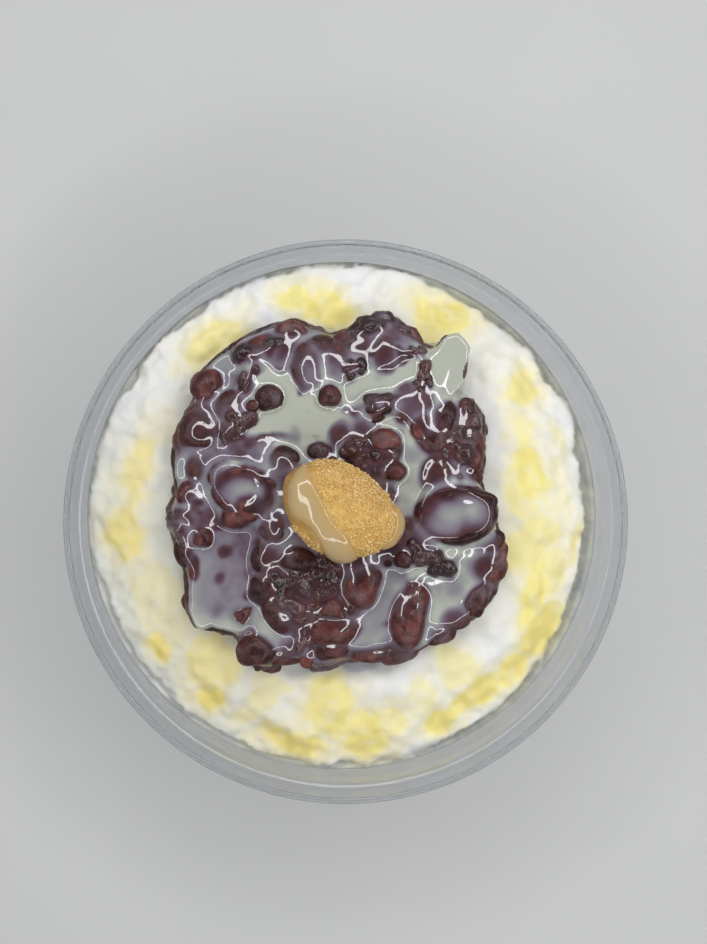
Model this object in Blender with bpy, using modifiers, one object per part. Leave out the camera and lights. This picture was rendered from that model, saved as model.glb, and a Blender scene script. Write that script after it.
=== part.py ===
"""Bingsu: shaved ice in a thin clear bowl, with sweet red beans, condensed milk and a rice cake.

Frame: metres, +Z up. The origin is the middle of the bowl's foot, on the surface it stands on.
Seen from above with +Y upwards, +X is the right-hand side of the serving.
"""

import math

import bmesh
import bpy
from mathutils import Matrix, Vector

MM = 0.001
GAP = 0.35 * MM                 # kept between pieces that touch

# The bowl: a thin formed shell with a seat for a lid under its rolled rim.
RIM_R = 71.0 * MM
RIM_Z = 68.0 * MM
WALL = 0.8 * MM
BEAD_R = 0.9 * MM               # the rolled edge
SEAT_DROP = 5.0 * MM            # from the rim's top down to the end of the lid seat
LEDGE_WIDTH = 1.4 * MM          # the step at the end of the lid seat
LEDGE_DROP = 0.8 * MM
FLOOR_R = 44.0 * MM             # where the floor starts to turn up into the wall
CORNER_RUN = 4.5 * MM
CORNER_RISE = 4.2 * MM
PUSH_UP = 1.5 * MM              # the middle of the floor, raised so that only a ring stands
PUSH_UP_R = 36.0 * MM
FOOT_INNER_R = 38.0 * MM
BOWL_STEPS = 48

# The shaved ice: fills the bowl and rises to a flat seat under the beans.
SEAT_X, SEAT_Y = -2.0 * MM, 7.5 * MM
SEAT_R = 48.0 * MM
SEAT_Z = RIM_Z - 3.0 * MM
ICE_EDGE_DROP = 9.4 * MM        # mean depth of the ice below the rim, at the wall
ICE_EDGE_TILT = 2.7 * MM        # it stands higher at the back left than at the front right
ICE_HIGH_SIDE = math.radians(135)
ICE_HOLLOW = 1.5                # how fast the ice drops away from the seat
ICE_LUMP = 1.1 * MM
ICE_STEPS = 48
ICE_RINGS = 12

# The red beans: a low mound of paste and whole beans.
HEAP_BASE_Z = SEAT_Z + GAP
HEAP_RISE = 12.0 * MM
HEAP_LIP = 2.6 * MM             # the blunt edge of the mound
HEAP_DOME = 3.0                 # a higher value makes a flatter top
HEAP_SHOULDER = 0.6
PASTE_DROP = 3.0 * MM           # the paste lies this far below the mound's mean surface
BEAN_RISE = 2.0 * MM            # and the beans stand this far above it
HEAP_STEPS = 66
HEAP_RINGS = 20

# The condensed milk: a thin pool in the hollows between the beans.
MILK_DROP = 0.3 * MM            # its surface, below the mound's mean surface
MILK_MIN = 0.7 * MM             # it is left out where it would be thinner
MILK_REACH = 0.93               # the share of the mound's radius that it covers

# The rice cake: one soft block, dusted with bean powder.
CAKE_X, CAKE_Y = -0.4 * MM, 3.4 * MM
CAKE_LENGTH = 29.0 * MM
CAKE_WIDTH = 20.0 * MM
CAKE_HEIGHT = 15.0 * MM
CAKE_TURN = math.radians(-33)
CAKE_SQUARENESS = 2.6           # 2 is an egg shape, and a higher value is nearer to a block
CAKE_FLAT = 0.72                # where its underside is cut flat, as a share of its half height
CAKE_BASE_Z = RIM_Z + 9.5 * MM
CAKE_CLEAR = 3.0 * MM           # the beans are pressed level this far out from its foot


def millimetres(pairs):
    """The same points, in metres."""
    return [(x * MM, y * MM) for x, y in pairs]


# The mound's ragged outline, anticlockwise from the right.
HEAP_EDGE = millimetres([
    (39, 0), (35, 10), (36, 16), (35, 29), (26, 33), (30, 43), (21, 45), (12, 53), (2, 50),
    (-3, 48), (-14, 52), (-27, 47), (-40, 35), (-39, 30), (-43, 25), (-45, 14), (-43, 9), (-46, 3),
    (-42, -11), (-39, -27), (-29, -29), (-22, -39), (-12, -34), (-8, -39), (2, -36), (16, -35),
    (26, -28), (33, -25), (38, -20), (41, -9)])

# The beans and clumps that stand out of the mound: x, y, length, width in mm, and turn in degrees.
LUMPS = [
    (-34, 33, 10, 9, 0), (-36, 22, 11, 11, 0), (-13, 46, 8, 6, 0), (-10, 36, 13, 9, 80),
    (-22, 41, 11, 8, 20), (-19, 30, 8, 7, 0), (-26, 24, 8, 7, 0), (-26, 9, 15, 13, 0),
    (-14, 16, 9, 8, 60), (-38, 0, 14, 9, 80), (7, 45, 14, 9, 0), (16, 39, 9, 6, -60),
    (24, 38, 14, 8, 75), (2, 34, 8, 7, 20), (9, 28, 10, 8, 0), (18, 24, 9, 6, 90),
    (27, 25, 11, 8, 20), (28, 14, 13, 10, 10), (9, 18, 9, 7, 20), (27, 2, 18, 12, 20),
    (20, -9, 12, 8, 10), (15, -21, 18, 9, 78), (31, -17, 9, 9, 0), (22, -28, 8, 7, 0),
    (5, -15, 12, 10, 90), (-10, -17, 18, 14, 0), (-18, -2, 9, 8, 80), (-22, -31, 12, 8, 10),
    (-4, -30, 8, 8, 90)]


def clear_scene():
    for old in list(bpy.data.objects):
        bpy.data.objects.remove(old, do_unlink=True)


def new_material(name, color, roughness, metallic=0.0, alpha=1.0):
    made = bpy.data.materials.new(name)
    made.use_nodes = True
    shader = made.node_tree.nodes["Principled BSDF"]
    shader.inputs["Base Color"].default_value = (*color, 1.0)
    shader.inputs["Roughness"].default_value = roughness
    shader.inputs["Metallic"].default_value = metallic
    shader.inputs["Alpha"].default_value = alpha
    made.diffuse_color = (*color, alpha)
    return made


def add_part(name, mesh, collection, material):
    """Put a finished mesh in the scene as one smooth-shaded part."""
    part = bpy.data.objects.new(name, mesh)
    collection.objects.link(part)
    mesh.materials.clear()
    mesh.materials.append(material)
    mesh.shade_smooth()
    if mesh.polygons:
        mesh.set_sharp_from_angle(angle=math.radians(40))
    return part


def profile_mesh(name, points):
    """A line of (radius, height) points in the XZ plane, for a Screw modifier to turn."""
    mesh = bpy.data.meshes.new(name)
    mesh.from_pydata([(r, 0.0, z) for r, z in points],
                     [(i, i + 1) for i in range(len(points) - 1)], [])
    return mesh


def turn(part, steps):
    """Sweep a part's profile once round +Z."""
    screw = part.modifiers.new("Turned", "SCREW")
    screw.axis = "Z"
    screw.steps = steps
    screw.render_steps = steps
    screw.use_merge_vertices = True
    screw.merge_threshold = 0.0001
    screw.use_smooth_shade = True


def turned_blank(name, points, steps, collection):
    """The turned shape as triangles in a bmesh, ready to be reshaped."""
    guide = bpy.data.objects.new(name + "_blank", profile_mesh(name + "_blank", points))
    collection.objects.link(guide)
    turn(guide, steps)
    bpy.context.view_layer.update()
    evaluated = guide.evaluated_get(bpy.context.evaluated_depsgraph_get())
    mesh = bpy.data.meshes.new_from_object(evaluated)
    blank = bmesh.new()
    blank.from_mesh(mesh)
    bpy.data.meshes.remove(mesh)
    bpy.data.objects.remove(guide)
    bmesh.ops.triangulate(blank, faces=blank.faces[:], quad_method="FIXED")
    return blank


def finish_mesh(name, shaped):
    mesh = bpy.data.meshes.new(name)
    shaped.to_mesh(mesh)
    shaped.free()
    return mesh


# ---- Bowl ----

LEDGE_Z = RIM_Z - SEAT_DROP - LEDGE_DROP
BEAD_CENTRE = (RIM_R - BEAD_R, RIM_Z - BEAD_R)
SEAT_WALL_R = BEAD_CENTRE[0] - BEAD_R
SEAT_FOOT_R = SEAT_WALL_R - 0.5 * MM
LEDGE_R = SEAT_FOOT_R - LEDGE_WIDTH
CORNER_TOP = (FLOOR_R + CORNER_RUN, WALL + CORNER_RISE)


def inner_line():
    """The inside of the bowl, from the middle of its floor up to the rim."""
    line = [(0.0, PUSH_UP + WALL), (PUSH_UP_R - WALL, PUSH_UP + WALL), (FOOT_INNER_R, WALL), (FLOOR_R, WALL)]
    for share in (0.35, 0.7):
        angle = share * math.pi / 2
        line.append((FLOOR_R + CORNER_RUN * math.sin(angle), WALL + CORNER_RISE * (1 - math.cos(angle))))
    line.append(CORNER_TOP)
    line.append((LEDGE_R, LEDGE_Z))
    line.append((SEAT_FOOT_R, RIM_Z - SEAT_DROP))
    return line


def offset_line(line, distance):
    """A line of (r, z) points moved to the right of its own direction."""
    moved = []
    for i, point in enumerate(line):
        here = Vector(point)
        before = here - Vector(line[i - 1]) if i > 0 else None
        after = Vector(line[i + 1]) - here if i < len(line) - 1 else None
        sides = [Vector((step.y, -step.x)).normalized() for step in (before, after) if step is not None]
        middle = sum(sides, Vector((0.0, 0.0))).normalized()
        reach = distance / middle.dot(sides[0])
        moved.append((max(0.0, here.x + middle.x * reach), here.y + middle.y * reach))
    moved[0] = (0.0, moved[0][1])
    return moved


def inner_radius(height):
    """The bowl's inside radius on its straight wall."""
    share = (height - CORNER_TOP[1]) / (LEDGE_Z - CORNER_TOP[1])
    return CORNER_TOP[0] + share * (LEDGE_R - CORNER_TOP[0])


def make_bowl(collection):
    inside = inner_line()
    bead = [(BEAD_CENTRE[0] + BEAD_R * math.cos(a), BEAD_CENTRE[1] + BEAD_R * math.sin(a))
            for a in (math.radians(180 - 45 * i) for i in range(7))]
    outside = offset_line(inside, WALL)
    profile = inside + bead + outside[::-1]
    material = new_material("clear_plastic", (0.80, 0.82, 0.85), 0.12, alpha=0.35)
    bowl = add_part("bowl", profile_mesh("bowl", profile), collection, material)
    turn(bowl, BOWL_STEPS)
    return bowl


# ---- Shaved ice ----

def ice_edge_z(angle):
    """Height of the ice where it meets the wall."""
    return RIM_Z - ICE_EDGE_DROP + ICE_EDGE_TILT * math.cos(angle - ICE_HIGH_SIDE)


def ice_top_z(x, y, wall_r):
    """Height of the ice: flat under the beans, then falling to the wall in soft lumps."""
    angle = math.atan2(y, x)
    from_seat = math.hypot(x - SEAT_X, y - SEAT_Y) - SEAT_R
    if from_seat <= 0:
        return SEAT_Z
    to_wall = max(0.0, wall_r - math.hypot(x, y))
    share = from_seat / (from_seat + to_wall)
    fall = (SEAT_Z - ice_edge_z(angle)) * share ** ICE_HOLLOW
    lumps = 0.5 + 0.3 * math.sin(11 * angle + 2.0) + 0.2 * math.sin(17 * angle + 9.0 * share)
    return SEAT_Z - fall - ICE_LUMP * lumps * 4 * share * (1 - share)


def make_ice(collection):
    side = offset_line(inner_line()[:-1], -GAP)
    top_z = side[-1][1]
    top_r = side[-1][0]
    top = [(top_r * i / ICE_RINGS, top_z) for i in range(ICE_RINGS)]
    shaped = turned_blank("shaved_ice", top + side[::-1], ICE_STEPS, collection)
    for vertex in shaped.verts:
        x, y, z = vertex.co
        if z < top_z - GAP:
            continue
        angle = math.atan2(y, x)
        wall_r = inner_radius(ice_edge_z(angle)) - GAP
        shrink = wall_r / top_r
        vertex.co.x = x * shrink
        vertex.co.y = y * shrink
        vertex.co.z = ice_top_z(vertex.co.x, vertex.co.y, wall_r)
    material = new_material("ice", (0.86, 0.87, 0.87), 0.55)
    return add_part("shaved_ice", finish_mesh("shaved_ice", shaped), collection, material)


# ---- Red beans ----

HEAP_RADII = sorted((math.atan2(y - SEAT_Y, x - SEAT_X), math.hypot(x - SEAT_X, y - SEAT_Y))
                    for x, y in HEAP_EDGE)


def heap_radius(angle):
    """Distance from the mound's middle to its outline, eased from point to point."""
    count = len(HEAP_RADII)
    for i in range(count):
        start, start_r = HEAP_RADII[i - 1]
        end, end_r = HEAP_RADII[i]
        span = (end - start) % math.tau
        along = (angle - start) % math.tau
        if along <= span:
            share = along / span
            eased = share * share * (3 - 2 * share)
            return start_r + (end_r - start_r) * eased
    return HEAP_RADII[0][1]


def heap_ratio(x, y):
    dx, dy = x - SEAT_X, y - SEAT_Y
    return min(1.0, math.hypot(dx, dy) / heap_radius(math.atan2(dy, dx)))


def mound_z(ratio):
    """The mound's mean surface: nearly flat, with a round shoulder and a blunt lip."""
    dome = (1 - ratio ** HEAP_DOME) ** HEAP_SHOULDER
    return HEAP_BASE_Z + HEAP_LIP + (HEAP_RISE - HEAP_LIP) * dome


def lump_height(x, y):
    """How far a bean or clump stands above the paste here: 0 between them, 1 on their tops."""
    best = 0.0
    for lump_x, lump_y, length, width, degrees in LUMPS:
        along = Vector((x / MM - lump_x, y / MM - lump_y))
        along.rotate(Matrix.Rotation(-math.radians(degrees), 2))
        inside = 1 - (2 * along.x / length) ** 2 - (2 * along.y / width) ** 2
        best = max(best, inside)
    return best


def under_cake(x, y, margin):
    """True within the rice cake's rounded footprint, grown by a margin."""
    local = Vector((x - CAKE_X, y - CAKE_Y))
    local.rotate(Matrix.Rotation(-CAKE_TURN, 2))
    along = abs(local.x) / (CAKE_LENGTH / 2 + margin)
    across = abs(local.y) / (CAKE_WIDTH / 2 + margin)
    return along ** CAKE_SQUARENESS + across ** CAKE_SQUARENESS < 1


def heap_top_z(x, y):
    ratio = heap_ratio(x, y)
    inland = 1 - ratio ** 6
    bare = mound_z(ratio) - PASTE_DROP * inland
    height = bare + (PASTE_DROP * inland + BEAN_RISE * (1 - ratio ** 4)) * lump_height(x, y)
    if under_cake(x, y, CAKE_CLEAR):
        height = min(height, CAKE_BASE_Z - GAP)
    return height


def heap_blank(name, collection):
    """A flat turned disc whose outline is drawn out to the mound's."""
    rings = [SEAT_R * (i / HEAP_RINGS) ** 0.8 for i in range(HEAP_RINGS + 1)]
    profile = [(r, HEAP_RISE) for r in rings] + [(SEAT_R, 0.0), (0.0, 0.0)]
    blank = turned_blank(name, profile, HEAP_STEPS, collection)
    for vertex in blank.verts:
        x, y, _ = vertex.co
        if math.hypot(x, y) < GAP:
            x, y = 0.0, 0.0
        stretch = heap_radius(math.atan2(y, x)) / SEAT_R
        vertex.co.x = SEAT_X + x * stretch
        vertex.co.y = SEAT_Y + y * stretch
    return blank


def make_beans(collection):
    shaped = heap_blank("red_beans", collection)
    for vertex in shaped.verts:
        on_top = vertex.co.z > HEAP_RISE / 2
        vertex.co.z = heap_top_z(vertex.co.x, vertex.co.y) if on_top else HEAP_BASE_Z
    material = new_material("bean_paste", (0.13, 0.05, 0.06), 0.45)
    return add_part("red_beans", finish_mesh("red_beans", shaped), collection, material)


# ---- Condensed milk ----

def milk_top_z(x, y):
    return mound_z(heap_ratio(x, y)) - MILK_DROP


def milk_is_deep(vertex):
    x, y, z = vertex.co
    if z < HEAP_RISE / 2 or heap_ratio(x, y) > MILK_REACH:
        return False
    return milk_top_z(x, y) - heap_top_z(x, y) - GAP > MILK_MIN


def delete_vertices(shaped, doomed):
    bmesh.ops.delete(shaped, geom=doomed, context="VERTS")


def delete_pinches(shaped):
    """Remove loose edges, and corners where the sheet would hang together by one vertex."""
    while True:
        loose = [e for e in shaped.edges if e.is_wire]
        bmesh.ops.delete(shaped, geom=loose, context="EDGES")
        pinched = [v for v in shaped.verts if not v.link_faces or sum(e.is_boundary for e in v.link_edges) > 2]
        if not pinched:
            return
        delete_vertices(shaped, pinched)


def keep_largest_island(shaped):
    unseen = set(shaped.verts)
    largest = set()
    while unseen:
        island = {unseen.pop()}
        front = list(island)
        while front:
            for edge in front.pop().link_edges:
                for vertex in edge.verts:
                    if vertex in unseen:
                        unseen.remove(vertex)
                        island.add(vertex)
                        front.append(vertex)
        largest = max(largest, island, key=len)
    delete_vertices(shaped, [v for v in shaped.verts if v not in largest])


def make_milk(collection):
    shaped = heap_blank("condensed_milk", collection)
    delete_vertices(shaped, [v for v in shaped.verts if not milk_is_deep(v)])
    delete_pinches(shaped)
    keep_largest_island(shaped)
    for vertex in shaped.verts:
        vertex.co.z = heap_top_z(vertex.co.x, vertex.co.y) + GAP
    grown = bmesh.ops.extrude_face_region(shaped, geom=shaped.faces[:], use_keep_orig=True)
    for item in grown["geom"]:
        if isinstance(item, bmesh.types.BMVert):
            item.co.z = milk_top_z(item.co.x, item.co.y)
    bmesh.ops.recalc_face_normals(shaped, faces=shaped.faces[:])
    material = new_material("condensed_milk", (0.62, 0.61, 0.56), 0.12)
    return add_part("condensed_milk", finish_mesh("condensed_milk", shaped), collection, material)


# ---- Rice cake ----

def make_cake(collection):
    """A ball drawn out towards a block, with a flat underside to lie on."""
    shaped = bmesh.new()
    bmesh.ops.create_uvsphere(shaped, u_segments=28, v_segments=14, radius=1.0)
    for vertex in shaped.verts:
        reach = sum(abs(value) ** CAKE_SQUARENESS for value in vertex.co) ** (1 / CAKE_SQUARENESS)
        vertex.co /= reach
        settled = max(vertex.co.z, -CAKE_FLAT) + CAKE_FLAT
        vertex.co.x *= CAKE_LENGTH / 2
        vertex.co.y *= CAKE_WIDTH / 2
        vertex.co.z = settled * CAKE_HEIGHT / (1 + CAKE_FLAT)
    shaped.transform(Matrix.Translation((CAKE_X, CAKE_Y, CAKE_BASE_Z)) @ Matrix.Rotation(CAKE_TURN, 4, "Z"))
    material = new_material("rice_cake", (0.60, 0.36, 0.13), 0.7)
    return add_part("rice_cake", finish_mesh("rice_cake", shaped), collection, material)


def main():
    clear_scene()
    parts = bpy.data.collections.new("bingsu")
    bpy.context.scene.collection.children.link(parts)
    make_bowl(parts)
    make_ice(parts)
    make_beans(parts)
    make_milk(parts)
    make_cake(parts)


main()
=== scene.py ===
# %% [markdown]
# # A bowl of bingsu, dressed for its portrait
# Bingsu is shaved milk ice in a thin clear bowl, with a mound of sweet red beans on top, condensed milk
# poured over them, and one soft rice cake rolled in roasted bean powder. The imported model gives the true
# sizes and places. This script keeps those sizes and gives every piece its real surface.

import math
import random

import bpy
import numpy as np
from mathutils import Matrix, Vector, noise


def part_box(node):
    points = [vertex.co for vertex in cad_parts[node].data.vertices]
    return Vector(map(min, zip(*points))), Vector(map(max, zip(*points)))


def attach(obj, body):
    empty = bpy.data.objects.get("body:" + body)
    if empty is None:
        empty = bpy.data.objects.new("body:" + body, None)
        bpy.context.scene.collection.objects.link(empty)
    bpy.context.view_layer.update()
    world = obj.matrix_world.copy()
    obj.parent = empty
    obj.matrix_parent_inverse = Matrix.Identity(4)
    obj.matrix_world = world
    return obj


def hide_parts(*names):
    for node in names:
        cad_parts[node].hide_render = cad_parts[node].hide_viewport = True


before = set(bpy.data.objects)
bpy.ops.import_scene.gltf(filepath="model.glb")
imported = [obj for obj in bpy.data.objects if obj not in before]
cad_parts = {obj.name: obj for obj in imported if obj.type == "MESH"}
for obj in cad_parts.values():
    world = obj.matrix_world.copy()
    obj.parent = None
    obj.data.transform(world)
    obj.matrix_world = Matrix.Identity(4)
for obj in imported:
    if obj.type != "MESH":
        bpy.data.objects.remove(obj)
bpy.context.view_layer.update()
MM = 0.001

# %% [markdown]
# ## Small helpers
# Blender's operators act on whatever is selected, so every operator call is prepared by the same few
# helpers: one selects, one applies modifiers, and two move vertex positions in and out of numpy.

# %% Helpers for selecting and shaping


def only(*pieces):
    """Leave edit mode, deselect everything and select these pieces; the last one is active."""
    if bpy.context.object and bpy.context.object.mode != "OBJECT":
        bpy.ops.object.mode_set(mode="OBJECT")
    bpy.ops.object.select_all(action="DESELECT")
    for piece in pieces:
        piece.select_set(True)
    bpy.context.view_layer.objects.active = pieces[-1]


def start_piece(name):
    """Name the primitive that was just added."""
    piece = bpy.context.object
    piece.name = name
    piece.data.name = name
    return piece


def apply_modifiers(piece):
    only(piece)
    for name in [modifier.name for modifier in piece.modifiers]:
        bpy.ops.object.modifier_apply(modifier=name)


def positions(piece):
    """The vertices of a piece as an array of x, y, z rows."""
    flat = np.empty(len(piece.data.vertices) * 3)
    piece.data.vertices.foreach_get("co", flat)
    return flat.reshape(-1, 3)


def move_to(piece, points):
    piece.data.vertices.foreach_set("co", np.asarray(points, dtype=float).ravel())
    piece.data.update()


def normals(piece):
    flat = np.empty(len(piece.data.vertices) * 3)
    piece.data.vertices.foreach_get("normal", flat)
    return flat.reshape(-1, 3)


def store(piece, name, values):
    """Keep one number for each vertex, for a material to read."""
    layer = piece.data.attributes.get(name) or piece.data.attributes.new(name, "FLOAT", "POINT")
    layer.data.foreach_set("value", np.asarray(values, dtype=float))


def smooth_shade(piece):
    only(piece)
    bpy.ops.object.shade_smooth()


def triangles(piece):
    piece.data.calc_loop_triangles()
    return len(piece.data.loop_triangles)


def remove(*pieces):
    for piece in pieces:
        bpy.data.objects.remove(piece, do_unlink=True)


def rough(points, size, octaves=3, seed=0.0):
    """Fractal noise between about -1 and 1 at each point, with lumps of the given size."""
    shift = Vector((seed * 7.3, seed * 3.1, seed * 5.7))
    return np.array([noise.fractal(Vector(point) / size + shift, 0.8, 2.0, octaves) for point in points])


def ease(low, high, value):
    """0 below low, 1 above high, and a smooth curve between."""
    share = np.clip((value - low) / (high - low), 0.0, 1.0)
    return share * share * (3 - 2 * share)


def in_plan(x, y):
    """Points with their height left out, for a noise that follows the plan alone."""
    return np.column_stack((x, y, np.zeros(len(x))))


print("helpers ready")

# %% [markdown]
# ## Helpers for materials
# A material is a few nodes feeding one Principled shader. These helpers keep the wiring readable: a
# noise pattern on Object coordinates, a colour ramp, and a bump.

# %% Material helpers


def new_finish(name, **sockets):
    """A material with its Principled shader set from sockets named with underscores."""
    finish = bpy.data.materials.new(name)
    finish.use_nodes = True
    shader = finish.node_tree.nodes["Principled BSDF"]
    for socket, value in sockets.items():
        shader.inputs[socket.replace("_", " ")].default_value = value
    return finish, shader


def add_node(finish, kind, **values):
    made = finish.node_tree.nodes.new(kind)
    for name, value in values.items():
        if name in made.inputs:
            made.inputs[name].default_value = value
        else:
            setattr(made, name, value)
    return made


def link(finish, source, target):
    finish.node_tree.links.new(source, target)


def noise_pattern(finish, size, detail=3.0, roughness=0.55):
    """A noise whose lumps are about size metres across."""
    place = add_node(finish, "ShaderNodeTexCoord")
    pattern = add_node(finish, "ShaderNodeTexNoise", Scale=1.0 / size, Detail=detail, Roughness=roughness)
    link(finish, place.outputs["Object"], pattern.inputs["Vector"])
    return pattern.outputs["Fac"]


def attribute(finish, name):
    return add_node(finish, "ShaderNodeAttribute", attribute_name=name).outputs["Fac"]


def ramp(finish, source, stops):
    """Map a value to colours: stops are (position, (r, g, b))."""
    made = add_node(finish, "ShaderNodeValToRGB")
    elements = made.color_ramp.elements
    while len(elements) < len(stops):
        elements.new(1.0)
    for element, (place, color) in zip(elements, stops):
        element.position = place
        element.color = (*color, 1.0)
    link(finish, source, made.inputs["Fac"])
    return made.outputs["Color"]


def blend_colors(finish, share, low, high):
    made = add_node(finish, "ShaderNodeMix", data_type="RGBA")
    link(finish, share, made.inputs["Factor"])
    for source, target in ((low, made.inputs[6]), (high, made.inputs[7])):
        if isinstance(source, tuple):
            target.default_value = (*source, 1.0)
        else:
            link(finish, source, target)
    return made.outputs[2]


def remap(finish, source, low, high, to_low=0.0, to_high=1.0):
    made = add_node(finish, "ShaderNodeMapRange")
    link(finish, source, made.inputs["Value"])
    made.inputs["From Min"].default_value = low
    made.inputs["From Max"].default_value = high
    made.inputs["To Min"].default_value = to_low
    made.inputs["To Max"].default_value = to_high
    return made.outputs["Result"]


def arithmetic(finish, operation, first, second):
    made = add_node(finish, "ShaderNodeMath", operation=operation)
    for source, target in ((first, made.inputs[0]), (second, made.inputs[1])):
        if isinstance(source, (int, float)):
            target.default_value = source
        else:
            link(finish, source, target)
    return made.outputs["Value"]


def add_bump(finish, shader, height, distance, strength=1.0, before=None):
    made = add_node(finish, "ShaderNodeBump", Strength=strength, Distance=distance)
    link(finish, height, made.inputs["Height"])
    if before is not None:
        link(finish, before, made.inputs["Normal"])
    link(finish, made.outputs["Normal"], shader.inputs["Normal"])
    return made.outputs["Normal"]


def dress(piece, finish):
    piece.data.materials.clear()
    piece.data.materials.append(finish)


print("material helpers ready")

# %% [markdown]
# ## Camera, floor and light
# The bowl is seen from straight above. The camera hangs 230 mm over the rim, a little behind the bowl's
# middle, so that the far wall shows less than the near one. Thin bright lines along the milk come from
# a ring of narrow strip lights: the flat pools mirror the dark gap in the middle of the ring, and only
# their curled edges are steep enough to mirror the strips.

# %% Camera
RIM_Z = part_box("bowl")[1][2]
CAMERA_X, CAMERA_Y = 2.0 * MM, 12.5 * MM
CAMERA_RISE = 230 * MM
camera_data = bpy.data.cameras.new("camera")
camera_data.lens = 35.0
camera_data.sensor_width = 36.0
camera_data.clip_start = 0.01
camera = bpy.data.objects.new("camera", camera_data)
bpy.context.scene.collection.objects.link(camera)
camera.location = (CAMERA_X, CAMERA_Y, RIM_Z + CAMERA_RISE)
bpy.context.scene.camera = camera
print("camera", round(CAMERA_RISE / MM), "mm over the rim")

# %% Floor
bpy.ops.mesh.primitive_plane_add(size=6.0)
floor = start_piece("floor")
floor_finish, floor_shader = new_finish("floor_finish", Base_Color=(0.62, 0.62, 0.61, 1.0), Roughness=0.6)
floor_tone = noise_pattern(floor_finish, 0.25)
floor_colors = ramp(floor_finish, floor_tone, [(0.3, (0.60, 0.60, 0.595)), (0.7, (0.64, 0.64, 0.63))])
link(floor_finish, floor_colors, floor_shader.inputs["Base Color"])
dress(floor, floor_finish)
print("floor", floor.dimensions.x, "m wide")

# %% Ring of strip lights
RING_DISTANCE = 0.80
RING_FROM_TOP = math.radians(42)
STRIP_LENGTH = 0.42
WATTS_PER_METRE = 7.9
# Widths in metres, for directions from +X anticlockwise: the wide strips hang on the right and behind.
STRIP_WIDTHS = (0.13, 0.14, 0.16, 0.10, 0.07, 0.06, 0.07, 0.10)
HEAP_X, HEAP_Y = -2.0 * MM, 7.5 * MM
heap_middle = Vector((HEAP_X, HEAP_Y, RIM_Z + 8 * MM))
for number, width in enumerate(STRIP_WIDTHS):
    around = math.tau * number / len(STRIP_WIDTHS)
    outwards = math.sin(RING_FROM_TOP)
    away = Vector((math.cos(around) * outwards, math.sin(around) * outwards, math.cos(RING_FROM_TOP)))
    strip_data = bpy.data.lights.new(f"strip_{number}", "AREA")
    strip_data.shape = "RECTANGLE"
    strip_data.size, strip_data.size_y = STRIP_LENGTH, width
    strip_data.energy = WATTS_PER_METRE * width
    strip = bpy.data.objects.new(f"strip_{number}", strip_data)
    bpy.context.scene.collection.objects.link(strip)
    strip.location = heap_middle + away * RING_DISTANCE
    strip.rotation_euler = away.to_track_quat("Z", "Y").to_euler()
    tangent = Vector((-math.sin(around), math.cos(around), 0.0))
    side = strip.rotation_euler.to_matrix() @ Vector((1, 0, 0))
    if abs(side.dot(tangent)) < 0.7:
        strip_data.size, strip_data.size_y = width, STRIP_LENGTH
world = bpy.context.scene.world or bpy.data.worlds.new("world")
bpy.context.scene.world = world
world.use_nodes = True
# The room is pale all round and dark straight overhead, where the flat pools mirror it.
PALE_FROM_TOP, DARK_FROM_TOP = math.radians(42), math.radians(22)
PALE_STRENGTH, DARK_STRENGTH = 0.36, 0.06
sky = world.node_tree
sky_height = sky.nodes.new("ShaderNodeSeparateXYZ")
sky_tone = sky.nodes.new("ShaderNodeMapRange")
sky_tone.interpolation_type = "SMOOTHSTEP"
sky_tone.inputs["From Min"].default_value = math.cos(PALE_FROM_TOP)
sky_tone.inputs["From Max"].default_value = math.cos(DARK_FROM_TOP)
sky_tone.inputs["To Min"].default_value = PALE_STRENGTH
sky_tone.inputs["To Max"].default_value = DARK_STRENGTH
sky.links.new(sky.nodes.new("ShaderNodeTexCoord").outputs["Generated"], sky_height.inputs["Vector"])
sky.links.new(sky_height.outputs["Z"], sky_tone.inputs["Value"])
sky.links.new(sky_tone.outputs["Result"], sky.nodes["Background"].inputs["Strength"])
sky.nodes["Background"].inputs["Color"].default_value = (0.88, 0.91, 0.96, 1.0)
bpy.context.scene.view_settings.view_transform = "Standard"
print(len(STRIP_WIDTHS), "strips")

# %% [markdown]
# ## The bowl
# The real bowl is thermoformed from one clear sheet: a foot ring, a tapering wall, a small ledge, an
# upright seat for a lid and a rolled edge. It could be a turned profile with a Screw modifier. Here it
# is drawn up ring by ring from a circle, as a potter would: each extrude is widened and lifted to the
# next ring, up the outside, over the rim, and down the inside.

# %% Draw up a shape ring by ring


def drawn_up(name, rings, steps):
    """Extrude a circle through (radius, height) rings and cap both ends."""
    first_r, first_z = rings[0]
    bpy.ops.mesh.primitive_circle_add(vertices=steps, radius=first_r, fill_type="NGON", location=(0, 0, 0))
    piece = start_piece(name)
    only(piece)
    bpy.ops.object.mode_set(mode="EDIT")
    bpy.ops.mesh.select_all(action="SELECT")
    bpy.ops.transform.translate(value=(0, 0, first_z))
    last_r, last_z = first_r, first_z
    for ring_r, ring_z in rings[1:]:
        bpy.ops.mesh.extrude_region_move(TRANSFORM_OT_translate={"value": (0, 0, ring_z - last_z)})
        growth = ring_r / last_r
        bpy.ops.transform.resize(value=(growth, growth, 1.0), center_override=(0, 0, 0))
        last_r, last_z = ring_r, ring_z
    bpy.ops.mesh.select_all(action="SELECT")
    bpy.ops.mesh.normals_make_consistent(inside=False)
    bpy.ops.object.mode_set(mode="OBJECT")
    return piece


RIM_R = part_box("bowl")[1][0]
WALL = 0.8 * MM
WALL_ACROSS = 0.84 * MM     # the wall leans, so it measures a little more across than square through
LEDGE_R, LEDGE_Z = RIM_R - 3.7 * MM, RIM_Z - 5.8 * MM
CORNER_R, CORNER_Z = 48.5 * MM, 5.0 * MM
FLOOR_R, FOOT_IN_R, PUSH_R, PUSH_Z = 44.0 * MM, 38.0 * MM, 36.0 * MM, 1.5 * MM


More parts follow.
